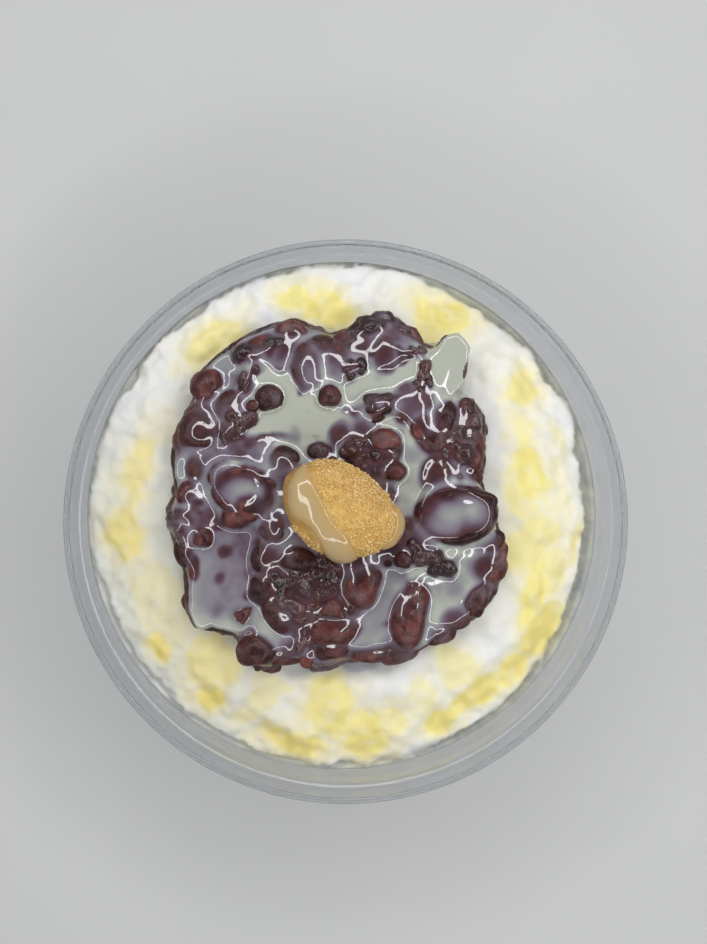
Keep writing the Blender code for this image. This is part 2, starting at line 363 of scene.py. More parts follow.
def arc(center_r, center_z, radius, start, end, count):
    """Points on an arc in the radius-height plane, angles in degrees."""
    angles = np.radians(np.linspace(start, end, count))
    return [(center_r + radius * math.cos(a), center_z + radius * math.sin(a)) for a in angles]


def wall_radius(height):
    """Inside radius of the tapering wall."""
    return CORNER_R + (height - CORNER_Z) / (LEDGE_Z - CORNER_Z) * (LEDGE_R - CORNER_R)


# Up the outside: push-up of the base, foot ring, corner, wall, ledge, and round the rolled rim.
outside = [(PUSH_R - 0.5 * MM, PUSH_Z), (PUSH_R, PUSH_Z - 0.2 * MM),
           (FOOT_IN_R - 0.8 * MM, 0.2 * MM), (FOOT_IN_R, 0.0)]
outside += arc(FLOOR_R + 0.3 * MM, CORNER_Z, CORNER_Z, -90, -18, 7)
outside += [(wall_radius(z) + WALL_ACROSS, z)
            for z in np.linspace(CORNER_Z + 1.5 * MM, LEDGE_Z - 1.6 * MM, 9)]
outside += [(LEDGE_R + WALL_ACROSS, LEDGE_Z - 0.7 * MM), (LEDGE_R + 1.2 * MM, LEDGE_Z - 0.35 * MM),
            (LEDGE_R + 1.9 * MM, LEDGE_Z + 0.1 * MM), (LEDGE_R + 2.15 * MM, LEDGE_Z + 0.7 * MM)]
BEAD_R = 0.9 * MM
bead_middle_r, bead_middle_z = RIM_R - BEAD_R, RIM_Z - BEAD_R
outside += arc(bead_middle_r, bead_middle_z, BEAD_R, -80, 180, 15)
# Down the inside: seat for a lid, ledge, wall, corner and floor.
inside = [(LEDGE_R + 1.45 * MM, LEDGE_Z + 1.2 * MM), (LEDGE_R + 1.30 * MM, LEDGE_Z + 0.85 * MM),
          (LEDGE_R + 1.0 * MM, LEDGE_Z + 0.65 * MM), (LEDGE_R + 0.35 * MM, LEDGE_Z + 0.35 * MM),
          (LEDGE_R + 0.05 * MM, LEDGE_Z), (LEDGE_R - 0.1 * MM, LEDGE_Z - 0.4 * MM)]
inside += [(wall_radius(z), z) for z in np.linspace(LEDGE_Z - 1.4 * MM, CORNER_Z + 1.0 * MM, 9)]
inside += arc(FLOOR_R + 0.2 * MM, CORNER_Z, CORNER_Z - WALL, -15, -90, 6)
inside += [(FOOT_IN_R + 0.2 * MM, WALL), (PUSH_R - 0.6 * MM, PUSH_Z + WALL - 0.1 * MM),
           (PUSH_R - 1.4 * MM, PUSH_Z + WALL)]
BOWL_STEPS = 160
bowl = drawn_up("clear_bowl", outside + inside, BOWL_STEPS)
only(bowl)
bpy.ops.object.shade_smooth_by_angle(angle=math.radians(50))
print("bowl:", len(outside + inside), "rings,", triangles(bowl), "triangles")

# %% [markdown]
# The plastic is clear with a faint haze and long ripples from the forming. Its cool grey tint is partly its
# own and partly a painted reflection of the cool surroundings. One Principled shader with full transmission
# gives the rim its bright lines. The thin stretched wall lets the ice through almost unchanged, which
# refraction alone would darken, so Alpha falls below the ledge.

# %% Clear plastic
# The cool grey is partly the plastic's own tint and partly a painted reflection of the cool surroundings.
CLEAR_TINT_AND_REFLECTION, MILKY_CLEAR = (0.75, 0.775, 0.81), (0.80, 0.79, 0.60)
plastic, plastic_shader = new_finish(
    "clear_plastic", Base_Color=(*CLEAR_TINT_AND_REFLECTION, 1.0), Roughness=0.10, IOR=1.45, Transmission_Weight=1.0)
plastic_haze = noise_pattern(plastic, 9 * MM, 4.0)
haze_roughness = remap(plastic, plastic_haze, 0.3, 0.7, 0.06, 0.16)
link(plastic, haze_roughness, plastic_shader.inputs["Roughness"])
add_bump(plastic, plastic_shader, noise_pattern(plastic, 14 * MM, 1.0), 0.15 * MM, 0.4)
plastic_place = add_node(plastic, "ShaderNodeSeparateXYZ")
link(plastic, add_node(plastic, "ShaderNodeTexCoord").outputs["Object"], plastic_place.inputs["Vector"])
WALL_ALPHA = 0.35
plastic_up = plastic_place.outputs["Z"]
wall_to_seat = remap(plastic, plastic_up, LEDGE_Z - 2.5 * MM, LEDGE_Z + 0.5 * MM, WALL_ALPHA, 1.0)
link(plastic, wall_to_seat, plastic_shader.inputs["Alpha"])
# Melted milk has run down the near side of the wall and left it yellowish.
near_side = remap(plastic, plastic_place.outputs["Y"], -45 * MM, -60 * MM)
below_ledge = remap(plastic, plastic_up, LEDGE_Z + 0.5 * MM, LEDGE_Z - 0.5 * MM)
blotches = remap(plastic, noise_pattern(plastic, 12 * MM, 2.0), 0.35, 0.55)
smear = arithmetic(plastic, "MULTIPLY", arithmetic(plastic, "MULTIPLY", near_side, below_ledge), blotches)
tinted = blend_colors(plastic, smear, CLEAR_TINT_AND_REFLECTION, MILKY_CLEAR)
link(plastic, tinted, plastic_shader.inputs["Base Color"])
dress(bowl, plastic)
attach(bowl, "root")
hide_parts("bowl")
print("plastic:", len(plastic.node_tree.nodes), "nodes")

# %% [markdown]
# ## Where the mound lies
# The mound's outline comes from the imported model: its lowest vertices give a radius for each direction.
# The mean surface is nearly flat on top, with a round shoulder and a blunt lip.

# %% The mound as functions
mound_points = positions(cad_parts["red_beans"])
heap_base = mound_points[:, 2].min()
foot_points = mound_points[mound_points[:, 2] < heap_base + 0.1 * MM]
foot_angles = np.arctan2(foot_points[:, 1] - HEAP_Y, foot_points[:, 0] - HEAP_X)
foot_radii = np.hypot(foot_points[:, 1] - HEAP_Y, foot_points[:, 0] - HEAP_X)
outer = foot_radii > 20 * MM        # leaves out what lies in the middle of the underside
order = np.argsort(foot_angles[outer])
edge_angles, edge_radii = foot_angles[outer][order], foot_radii[outer][order]
HEAP_RISE, HEAP_LIP = 12.0 * MM, 2.6 * MM
SHOULDER, ROUNDNESS = 3, 0.6        # the higher the first, the flatter the top


def heap_ratio(x, y):
    """0 in the mound's middle and 1 on its outline."""
    reach = np.interp(np.arctan2(y - HEAP_Y, x - HEAP_X), edge_angles, edge_radii, period=math.tau)
    return np.hypot(x - HEAP_X, y - HEAP_Y) / reach


def mound_height(x, y):
    ratio = np.clip(heap_ratio(x, y), 0.0, 1.0)
    return heap_base + HEAP_LIP + (HEAP_RISE - HEAP_LIP) * (1 - ratio ** SHOULDER) ** ROUNDNESS


print("mound outline from", len(edge_angles), "points, mean radius", round(edge_radii.mean() / MM, 1), "mm")

# %% [markdown]
# ## The shaved ice
# Shaved milk ice packs into the bowl and stands highest under the beans. Its ragged crust stops a few
# millimetres short of the wall, where it has melted to a lower, wet slush. The blank is drawn up like the
# bowl, and each vertex of its top is then lifted to the height that the place calls for. The side reaches
# just into the wall, so that no air shows between ice and plastic.

# %% Heights of the ice
SEAT_R, SEAT_DROP = 48.0 * MM, 3.0 * MM
EDGE_DROP, EDGE_TILT, HIGH_SIDE = 9.4 * MM, 2.7 * MM, math.radians(135)
BITE = 0.15 * MM            # how far the ice reaches into the wall
# Width of the slush between crust and wall, in mm, for compass directions from +X anticlockwise.
GAP_DIRECTIONS = np.radians([
    0, 15, 27, 35, 45, 60, 75, 95, 113, 125, 137, 150, 160, 178, 190, 200, 215, 240, 270, 300, 315, 330, 345])
GAP_WIDTHS = MM * np.array([
    3.7, 3.8, 0.6, 2.5, 1.0, 2.8, 0.6, 0.7, 0.2, 1.3, 0.6, 1.5, 0.3, 0.4, 0.7, 1.5, 1.7, 1.5, 1.1, 1.7, 2.0,
    2.5, 3.4])


def ice_edge(angle):
    return RIM_Z - EDGE_DROP + EDGE_TILT * np.cos(angle - HIGH_SIDE)


def crust_share(x, y, wall_r, ragged):
    """1 on the fluffy crust, 0 on the wet slush next to the wall."""
    angle = np.arctan2(y, x)
    width = np.interp(angle, GAP_DIRECTIONS, GAP_WIDTHS, period=math.tau)
    from_wall = wall_r - np.hypot(x, y)
    return ease(-0.5 * MM, 0.9 * MM, from_wall - width - ragged)


def ice_height(x, y, wall_r):
    """The smooth height: flat under the beans, then falling away to the wall."""
    from_seat = np.maximum(0.0, np.hypot(x - HEAP_X, y - HEAP_Y) - SEAT_R)
    to_wall = np.maximum(0.0, wall_r - np.hypot(x, y))
    share = from_seat / np.maximum(from_seat + to_wall, 1e-9)
    seat = RIM_Z - SEAT_DROP
    return seat - (seat - ice_edge(np.arctan2(y, x))) * share ** 1.5


print("slush", GAP_WIDTHS.min() / MM, "to", GAP_WIDTHS.max() / MM, "mm wide")

# %% Draw up the ice
ICE_STEPS = 540
BLANK_TOP_Z = RIM_Z - 8.0 * MM
side_rings = [(FLOOR_R - 9 * MM, PUSH_Z + WALL), (FOOT_IN_R + 0.5 * MM, WALL - BITE), (FLOOR_R, WALL - BITE)]
side_rings += arc(FLOOR_R + 0.2 * MM, CORNER_Z, CORNER_Z - WALL + BITE, -75, -15, 4)
side_rings += [(wall_radius(z) + BITE, z) for z in np.linspace(CORNER_Z + 1.5 * MM, BLANK_TOP_Z, 34)]
top_r = wall_radius(BLANK_TOP_Z) + BITE
top_rings = [(r, BLANK_TOP_Z) for r in np.linspace(top_r, 34 * MM, 46)[1:]]
top_rings += [(r, BLANK_TOP_Z) for r in (30 * MM, 24 * MM, 16 * MM, 8 * MM)]
ice = drawn_up("shaved_ice_body", side_rings + top_rings, ICE_STEPS)
points = positions(ice)
on_top = points[:, 2] > BLANK_TOP_Z - 0.1 * MM
angle = np.arctan2(points[:, 1], points[:, 0])
edge_z = ice_edge(angle)
wall_r = wall_radius(edge_z) + BITE
# The rings of the side are spread between the foot and the edge, so that none stands above the top.
side = ~on_top & (points[:, 2] > CORNER_Z + 1.0 * MM)
share_up = (points[side, 2] - CORNER_Z) / (BLANK_TOP_Z - CORNER_Z)
new_z = CORNER_Z + share_up * (edge_z[side] - CORNER_Z)
new_r = wall_radius(new_z) + BITE
points[side, 0] = new_r * np.cos(angle[side])
points[side, 1] = new_r * np.sin(angle[side])
points[side, 2] = new_z
print("ice:", len(points), "vertices,", triangles(ice), "triangles")

# %% Lumps and ragged edge
shrink = wall_r[on_top] / top_r
x, y = points[on_top, 0] * shrink, points[on_top, 1] * shrink
flat = in_plan(x, y)
ragged = 1.3 * MM * rough(flat, 5 * MM, 3, 1.0) + 0.6 * MM * rough(flat, 1.6 * MM, 2, 2.0)
crust = crust_share(x, y, wall_r[on_top], ragged)
beside = np.clip((np.hypot(x - HEAP_X, y - HEAP_Y) - 30 * MM) / (16 * MM), 0.0, 1.0)
height = ice_height(x, y, wall_r[on_top])
outwards = ease(46 * MM, 60 * MM, np.hypot(x, y))
soft_lumps = 1.5 * MM * rough(flat, 9 * MM, 2, 3.0)
soft_lumps += (0.25 + 0.45 * outwards) * MM * rough(flat, 3.2 * MM, 2, 4.0)
fine_lumps = (0.05 + 0.22 * outwards) * MM * rough(flat, 1.2 * MM, 2, 5.0)
at_wall = ease(0.0, 1.2 * MM, wall_r[on_top] - np.hypot(x, y))
print("share of the top that is crust:", round(float(crust.mean()), 2))

# %% [markdown]
# Condensed milk and syrup soak into the snow in yellow patches, and where they sink in the snow settles.
# The patches are ellipses with noisy edges, placed round the bowl by direction and distance. Their
# strength is stored on the vertices, so that the colour follows the shape wherever it is seen from.

# %% Soaked patches
# Direction in degrees, distance from the middle, half width around and half width outwards in mm,
# slant in degrees, strength, and how deep the colour runs.
PATCHES = [
    (37, 57, 5.0, 4.8, 0, 0.9, 0.25), (64, 57.5, 8.0, 5.0, 0, 1.0, 0.35), (65, 53, 5.0, 3.5, 0, 0.9, 0.2),
    (15, 46.5, 13.5, 3.8, 15, 0.8, 0.1), (30, 50, 5.0, 3.0, 0, 0.5, 0.0),
    (94, 53.5, 8.5, 4.6, 35, 1.0, 0.35), (101, 58, 5.0, 3.2, 20, 0.95, 0.2),
    (126, 56.5, 8.0, 4.2, 0, 0.85, 0.2), (154, 53, 6.0, 4.5, 0, 0.35, 0.0),
    (167, 55, 7.5, 3.8, 0, 0.8, 0.1), (183, 57, 6.5, 5.2, 0, 0.9, 0.25), (183, 53, 5.0, 3.0, 0, 0.6, 0.1),
    (203, 52, 14.0, 6.5, 0, 0.5, 0.0), (214, 58, 3.4, 2.8, 0, 1.0, 0.8), (226, 50, 6.5, 7.5, -20, 0.8, 0.0),
    (232, 58, 3.8, 3.8, 0, 1.0, 0.75), (257, 59, 8.5, 4.2, 0, 1.0, 0.6), (265, 48, 7.5, 9.0, 0, 0.9, 0.1),
    (275, 55.5, 7.5, 6.5, 0, 1.0, 0.3), (286, 50, 5.0, 4.5, 0, 0.5, 0.0),
    (296, 57.5, 5.5, 3.6, 0, 1.0, 0.6), (307, 56.5, 7.5, 3.6, 0, 1.0, 0.55),
    (307, 47.5, 5.0, 6.5, 10, 0.7, 0.05), (318, 58, 6.0, 3.2, 0, 1.0, 0.5),
    (330, 57.5, 8.0, 4.2, 0, 1.0, 0.6), (338, 52, 9.0, 3.4, -10, 1.0, 0.2),
    (352, 48, 9.0, 7.0, 0, 0.85, 0.1), (346, 56, 6.0, 3.4, 0, 0.8, 0.2), (6, 53, 13.0, 5.0, 0, 0.5, 0.0),
    (16, 48.5, 9.0, 3.4, 0, 1.0, 0.1), (268, 51.5, 6.5, 5.0, 0, 0.95, 0.15),
    (281, 53, 5.0, 4.2, 0, 0.8, 0.1), (244, 53, 3.2, 6.5, 25, 0.6, 0.0), (251, 58.5, 4.5, 3.0, 0, 0.8, 0.2),
    (294, 49, 3.4, 5.0, 30, 0.6, 0.0), (245, 45, 4.0, 2.8, 0, 0.6, 0.0), (354, 60.5, 6.0, 1.8, 0, 0.7, 0.4),
    (21, 58, 5.5, 2.0, 0, 0.5, 0.0)]

# Thin milk that ran off the mound's near side, in the same form.
RUN_OFF = [(269, 36.0, 9.0, 2.4, 0, 1.0, 0.0), (261, 36.5, 5.0, 1.6, -20, 0.8, 0.0)]
print(len(PATCHES), "patches")

# %% Strength of the patches


def patch_field(patches, x, y, wander, swirl):
    """The strongest patch at each point, and its depth of colour; swirl bends the ellipses."""
    soak, deep = np.zeros(len(x)), np.zeros(len(x))
    x, y = x + swirl[0], y + swirl[1]
    for direction, distance, around, outward, slant, strength, darkness in patches:
        middle = math.radians(direction)
        out = (x * math.cos(middle) + y * math.sin(middle)) / MM - distance
        beside = (-x * math.sin(middle) + y * math.cos(middle)) / MM
        cos, sin = math.cos(math.radians(slant)), math.sin(math.radians(slant))
        reach = np.hypot((beside * cos + out * sin) / around, (out * cos - beside * sin) / outward)
        soak = np.maximum(soak, strength * ease(1.5, 0.7, reach + wander))
        soak = np.maximum(soak, 0.5 * strength * ease(2.3, 1.0, reach + wander))
        deep = np.maximum(deep, strength * darkness * ease(1.15, 0.2, reach))
    return soak, deep


# %% Settle the snow and lift the top
SETTLED, SLUSH_DROP = 0.9 * MM, 1.6 * MM       # how far snow sinks where milk soaks in, and at the wall
swirl = (2.2 * MM * rough(flat, 10 * MM, 2, 12.0), 2.2 * MM * rough(flat, 10 * MM, 2, 13.0))
wander = 0.30 * rough(flat, 6 * MM, 2, 6.0) + 0.16 * rough(flat, 2.4 * MM, 2, 7.0)
sunk, _ = patch_field(PATCHES, x, y, 0.0, swirl)
soak, deep = patch_field(PATCHES, x, y, wander, swirl)
run_off, _ = patch_field(RUN_OFF, x, y, 0.5 * wander, swirl)
soak *= 1 - 0.25 * ease(0.0, 0.7, rough(flat, 3.4 * MM, 2, 8.0))
soak = np.maximum(soak, 0.08 + 0.16 * rough(flat, 12 * MM, 2, 9.0)) * (0.5 + 0.5 * crust)
lumps = SETTLED + soft_lumps + (1 - 0.8 * sunk) * fine_lumps - SETTLED * sunk
height += crust * beside * lumps - (1 - crust) * (SLUSH_DROP - 0.35 * soft_lumps)
height = edge_z[on_top] + (height - edge_z[on_top]) * at_wall
points[on_top] = np.column_stack((x, y, height))
move_to(ice, points)
for name, values in (("soak", soak), ("deep", deep), ("crust", crust), ("run_off", run_off)):
    whole = np.zeros(len(points))
    whole[on_top] = values
    store(ice, name, whole)
store(ice, "packed", ease(0.0, 5.0 * MM, edge_z - points[:, 2]) * ~on_top)
# This stored value is painted shade: it darkens the top of the snow towards the lower left, where less light
# falls.
towards = -0.9 * points[:, 0] - 0.45 * points[:, 1]
store(ice, "melt", ease(5 * MM, 60 * MM, towards) * on_top)
smooth_shade(ice)
print("soaked vertices:", int((soak > 0.5).sum()))

# %% [markdown]
# Packed snow is white with a soft glow, so it scatters a little light below its surface. Its colour is
# laid over in turns, each by its own stored attribute: slush, grey as wet ice and darker as painted shade
# by the wall; painted shade on the lower left side; the packed side against the wall; the yellow soak,
# the deepest soak and the streaks of thin milk.

# %% Snow finish
snow, snow_shader = new_finish("snow", Roughness=0.55, Subsurface_Weight=0.25, Subsurface_Scale=0.004)
snow_shader.inputs["Subsurface Radius"].default_value = (1.0, 1.0, 1.0)
snow_tone = ramp(snow, noise_pattern(snow, 5 * MM, 4.0), [
    (0.3, (0.85, 0.86, 0.885)), (0.7, (0.94, 0.935, 0.92))])
# The slush is grey-green as wet ice is, and painted darker still as the shade in the gap by the wall.
slush_and_shade_tone = ramp(snow, noise_pattern(snow, 4 * MM, 3.0), [
    (0.35, (0.42, 0.44, 0.43)), (0.65, (0.62, 0.63, 0.56))])
top_snow = blend_colors(snow, attribute(snow, "crust"), slush_and_shade_tone, snow_tone)
packed_tone = ramp(snow, noise_pattern(snow, 7 * MM, 5.0), [
    (0.35, (0.86, 0.88, 0.88)), (0.6, (0.96, 0.96, 0.945))])
# Painted shade: the snow is darker on its lower left side.
shade_painted_snow = blend_colors(snow, attribute(snow, "melt"), top_snow, (0.72, 0.735, 0.71))
plain_snow = blend_colors(snow, attribute(snow, "packed"), shade_painted_snow, packed_tone)
# Painted shade: the yellow soak is darker on the same lower left side.
yellow = blend_colors(snow, attribute(snow, "melt"), (1.0, 0.86, 0.31), (0.87, 0.73, 0.26))
soaked = blend_colors(snow, attribute(snow, "soak"), plain_snow, yellow)
deepest = blend_colors(snow, attribute(snow, "deep"), soaked, (0.76, 0.64, 0.20))
streaked = blend_colors(snow, attribute(snow, "run_off"), deepest, (0.40, 0.41, 0.43))
link(snow, streaked, snow_shader.inputs["Base Color"])
link(snow, remap(snow, attribute(snow, "soak"), 0.3, 1.0, 0.6, 0.4), snow_shader.inputs["Roughness"])
add_bump(snow, snow_shader, noise_pattern(snow, 1.8 * MM, 3.0, 0.55), 0.2 * MM, 0.35)
dress(ice, snow)
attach(ice, "root")
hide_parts("shaved_ice")
print("snow:", len(snow.node_tree.nodes), "nodes")

# %% [markdown]
# ## The sweet red beans
# Adzuki beans boiled soft in syrup: some whole, some collapsed to an open skin, some crushed to clumps,
# all bedded in dark paste. The poured milk lies in hollows of this mass, so the hollows are laid out
# first: each is an ellipse, and neighbours in one group hold one pool with one level.

# %% Hollows for the milk
# Groups of hollows: how far the pool's surface lies above the mound there, then x, y, half length,
# half width in mm and turn in degrees for each.
POOL_GROUPS = [
    (-0.8, [(-29.0, 39.0, 5.5, 2.6, 28), (-29.2, 33.5, 4.2, 1.7, 95)]),
    (-0.8, [(-19.0, 35.2, 4.6, 2.2, -40), (-14.6, 31.0, 4.0, 2.4, 95), (-10.9, 25.7, 10.5, 4.4, -8),
            (-6.1, 28.9, 3.4, 3.0, 0), (-20.6, 25.4, 5.0, 3.2, 10)]),
    (-0.8, [(8.6, 34.6, 9.8, 3.0, 14), (16.3, 37.8, 4.0, 3.2, 0), (2.2, 32.4, 4.0, 3.4, 30)]),
    (-0.8, [(11.4, 24.6, 4.2, 2.0, 0), (17.6, 18.6, 5.2, 3.2, -60), (15.8, 11.6, 9.0, 3.0, 82),
            (14.7, 4.0, 5.0, 2.4, 88)]),
    (2.0, [(-27.6, 10.4, 4.0, 3.8, 0), (-24.2, 8.6, 3.4, 4.4, -10)]),
    (-0.5, [(-38.4, 13.0, 3.8, 3.0, 0)]),
    (-0.8, [(-29.2, -7.0, 9.2, 7.0, 80), (-28.2, -18.0, 8.6, 8.4, 0), (-34.4, -18.0, 7.4, 3.4, 85),
            (-19.0, -25.0, 5.4, 3.0, -48)]),
    (-0.8, [(4.6, -27.4, 7.8, 2.6, 4), (8.6, -19.8, 8.2, 3.0, 58), (11.2, -11.8, 5.6, 2.4, 78)]),
    (2.1, [(23.0, 4.2, 4.6, 4.2, 0), (28.6, 2.6, 4.2, 4.8, 20)]),
    (-2.0, [(-7.5, 17.8, 8.0, 3.4, -14)]),
    (-0.7, [(24.2, -19.6, 5.6, 3.4, 55), (21.8, -15.4, 3.6, 3.0, 0), (30.0, -11.0, 7.0, 2.9, 78)]),
    (-0.7, [(19.2, -11.9, 4.8, 1.9, -8), (23.4, -6.2, 5.4, 1.6, -8)]),
    (2.1, [(25.5, 38.5, 7.2, 4.6, 75)]),
    (-0.9, [(-3.1, 45.0, 5.4, 2.8, -8)]),
    (0.5, [(-21.0, 44.2, 4.8, 2.2, 20)]),
    (0.2, [(17.6, -27.6, 4.4, 3.0, 20)])]


# The pool that fills one fallen-in skin to the brim: it has almost no curl and reaches the mound's outline.
BRIM_FULL = (26.0, 38.8, 10.6, 8.2, 75)
# Where the beans are crushed to a crumbly mash, as ellipses in the same form.
MASH = [
    (-8, -16, 11, 8, -20), (8, 16, 7.5, 5.5, -10), (28, 21, 6, 9, 0), (-38.5, -1, 4.5, 6, 0),
    (12, 44, 9, 4, 0), (18.5, 36, 3, 5.5, 0), (-10, -28, 3, 5, 0), (20.5, -8.8, 6.5, 3, -35),
    (-26.5, 23.5, 4.5, 3, 30)]
print(len(POOL_GROUPS), "pools,", len(MASH), "crushed places")

# %% Depth and level of the pools


def hollow_mask(x, y, row, wander):
    """1 well inside one elliptic hollow, 0 outside, with a soft uneven edge."""
    hollow_x, hollow_y, long, wide, turn = row
    cos, sin = math.cos(math.radians(turn)), math.sin(math.radians(turn))
    across_x, across_y = x / MM - hollow_x, y / MM - hollow_y
    along = (across_x * cos + across_y * sin) / long
    beside = (-across_x * sin + across_y * cos) / wide
    reach = np.sqrt(along ** 2 + beside ** 2)
    return ease(1.4, -0.6, (reach - 1) * min(long, wide) + wander)


def pools(x, y):
    """How deep in a hollow each point is, from 0 to 1, and the height of the milk that fills it."""
    wander = 0.7 * rough(in_plan(x, y), 4 * MM, 2, 10.0)
    hollow, weight, level = np.zeros(len(x)), np.full(len(x), 1e-6), np.zeros(len(x))
    here = mound_height(x, y)
    level += weight * here
    for lift, rows in POOL_GROUPS:
        centres = np.array(rows)[:, :2] * MM
        flat_level = mound_height(centres[:, 0], centres[:, 1]).mean()
        inside = np.max([hollow_mask(x, y, row, wander) for row in rows], axis=0)
        near = inside ** 2 + 1e-4
        follow = 0.35 * MM * np.tanh((here - flat_level) / MM)
        level += near * (flat_level + follow + lift * MM)
        weight += near
        hollow = np.maximum(hollow, inside)
    return hollow, level / weight


DRY_DROP, RIM_DROP = 8.0 * MM, 3.0 * MM       # how far the level falls outside a pool, and at the outline


def milk_level(x, y):
    """Height of the milk's surface: flat in each pool, far down at the mound's edge."""
    hollow, level = pools(x, y)
    at_rim = ease(0.94, 1.0, heap_ratio(x, y)) * (1 - hollow_mask(x, y, BRIM_FULL, 0.0))
    return level - DRY_DROP * (1 - ease(0.0, 0.25, hollow)) - RIM_DROP * at_rim


probe_hollow, probe_level = pools(np.array([-0.0109, 0.0]), np.array([0.0257, -0.015]))
print("hollow and level at two places:", probe_hollow.round(2), (probe_level / MM).round(2))

# %% [markdown]
# Each kind of bean is modelled once and copied many times. A template fills a unit box, so one matrix
# can size, tip, turn and place a copy, and all copies of a kind are joined to one mesh.

# %% Copying templates


def nudge(piece, near, shift, size):
    """Push the surface near a point with a soft falloff, as proportional editing does by hand."""
    only(piece)
    bpy.ops.object.mode_set(mode="EDIT")
    bpy.ops.mesh.select_mode(type="VERT")
    bpy.ops.mesh.select_all(action="DESELECT")
    bpy.ops.object.mode_set(mode="OBJECT")
    distances = np.linalg.norm(positions(piece) - np.array(near), axis=1)
    piece.data.vertices[int(distances.argmin())].select = True
    bpy.ops.object.mode_set(mode="EDIT")
    bpy.ops.transform.translate(value=shift, use_proportional_edit=True, proportional_edit_falloff="SMOOTH",
                                proportional_size=size)
    bpy.ops.object.mode_set(mode="OBJECT")


def to_unit_box(piece):
    """Centre a template and size it to reach 1 along each axis."""
    points = positions(piece)
    middle = (points.max(axis=0) + points.min(axis=0)) / 2
    move_to(piece, (points - middle) / ((points.max(axis=0) - points.min(axis=0)) / 2))


def placed(x, y, z, half_size, turn=0.0, tilt=(0.0, 0.0)):
    """A matrix that sizes a unit template, tips it, turns it and puts it in place."""
    tipped = Matrix.Rotation(turn, 4, "Z") @ Matrix.Rotation(tilt[0], 4, "X")
    rotation = tipped @ Matrix.Rotation(tilt[1], 4, "Y")
    return Matrix.Translation((x, y, z)) @ rotation @ Matrix.Diagonal((*half_size, 1.0))


def joined_copies(name, places):
    """One mesh with a copy of a template for each (template, matrix); "copy" tells them apart."""
    bpy.ops.mesh.primitive_cube_add(size=1.0)
    piece = start_piece(name)
    all_points, all_faces, all_numbers, start = [], [], [], 0
    shapes = {}
    for template, _ in places:
        if template.name not in shapes:
            template.data.calc_loop_triangles()
            faces = np.array([face.vertices[:] for face in template.data.loop_triangles])
            shapes[template.name] = (positions(template), faces)
    for number, (template, matrix) in enumerate(places):
        corners, faces = shapes[template.name]
        grid = np.array(matrix)
        all_points.append(corners @ grid[:3, :3].T + grid[:3, 3])
        all_faces.append(faces + start)
        all_numbers.append(np.full(len(corners), (number * 0.61803) % 1.0))
        start += len(corners)
    mesh = bpy.data.meshes.new(name)
    mesh.from_pydata(np.concatenate(all_points), [], np.concatenate(all_faces))
    mesh.validate()
    old = piece.data
    piece.data = mesh
    bpy.data.meshes.remove(old)
    store(piece, "copy", np.concatenate(all_numbers))
    smooth_shade(piece)
    return piece


print("copying helpers ready")

# %% [markdown]
# A whole bean starts as an icosphere. Its hilum side is pressed in, which gives the kidney bend, and
# the skin is creased by a Displace modifier. A collapsed bean is the same with its top pressed deep, so
# that it holds a pool. A clump is a handful of chunks, joined and remeshed into one crumbly body. A
# shard is an angular scrap of skin and paste.

# %% Bean templates


def wrinkle(piece, size, strength):
    texture = bpy.data.textures.new(piece.name + "_creases", "CLOUDS")
    texture.noise_scale = size
    texture.noise_depth = 2
    crease = piece.modifiers.new("creases", "DISPLACE")
    crease.texture = texture
    crease.strength = strength
    crease.mid_level = 0.5
    apply_modifiers(piece)


def bean_template(name, subdivisions, dent):
    bpy.ops.mesh.primitive_ico_sphere_add(subdivisions=subdivisions, radius=1.0, location=(0, 0, 0))
    bean = start_piece(name)
    nudge(bean, (0.0, -1.0, 0.1), (0.0, dent, 0.0), 1.0)
    nudge(bean, (0.9, 0.2, 0.2), (0.12, -0.08, 0.06), 0.8)
    wrinkle(bean, 0.9, 0.07)
    to_unit_box(bean)
    return bean


def skin_template(name):
    """A bean whose top has fallen in: a cup with a soft, uneven rim."""
    bpy.ops.mesh.primitive_ico_sphere_add(subdivisions=5, radius=1.0, location=(0, 0, 0))
    cup = start_piece(name)
    nudge(cup, (0.0, 0.0, 1.0), (0.0, 0.0, -0.8), 1.1)
    nudge(cup, (0.4, 0.15, 0.5), (0.0, 0.0, -0.2), 0.5)
    nudge(cup, (0.8, 0.45, 0.3), (0.1, 0.05, 0.16), 0.4)
    wrinkle(cup, 0.8, 0.08)
    to_unit_box(cup)
    return cup


def clump_template(name, chunks, seed):
    """Crushed beans: rounded chunks pressed into one body."""
    dice = random.Random(seed)
    grains = []
    for _ in range(chunks):
        around, out = dice.uniform(0, math.tau), dice.uniform(0.0, 0.68)
        place = (out * math.cos(around), out * math.sin(around), dice.uniform(-0.2, 0.35) * (1 - out))
        bpy.ops.mesh.primitive_ico_sphere_add(subdivisions=3, radius=dice.uniform(0.30, 0.52), location=place)
        chunk = start_piece("chunk")
        chunk.scale = (dice.uniform(0.8, 1.2), dice.uniform(0.7, 1.1), dice.uniform(0.6, 1.0))
        chunk.rotation_euler = (dice.uniform(0, 3), dice.uniform(0, 3), dice.uniform(0, 3))
        grains.append(chunk)
    only(*grains)
    bpy.ops.object.join()
    clump = start_piece(name)
    bpy.ops.object.transform_apply(location=True, rotation=True, scale=True)
    melt = clump.modifiers.new("one_body", "REMESH")
    melt.mode = "VOXEL"
    melt.voxel_size = 0.10
    soften = clump.modifiers.new("soft", "SMOOTH")
    soften.factor = 0.5
    soften.iterations = 2
    apply_modifiers(clump)
    wrinkle(clump, 0.3, 0.12)
    to_unit_box(clump)
    return clump


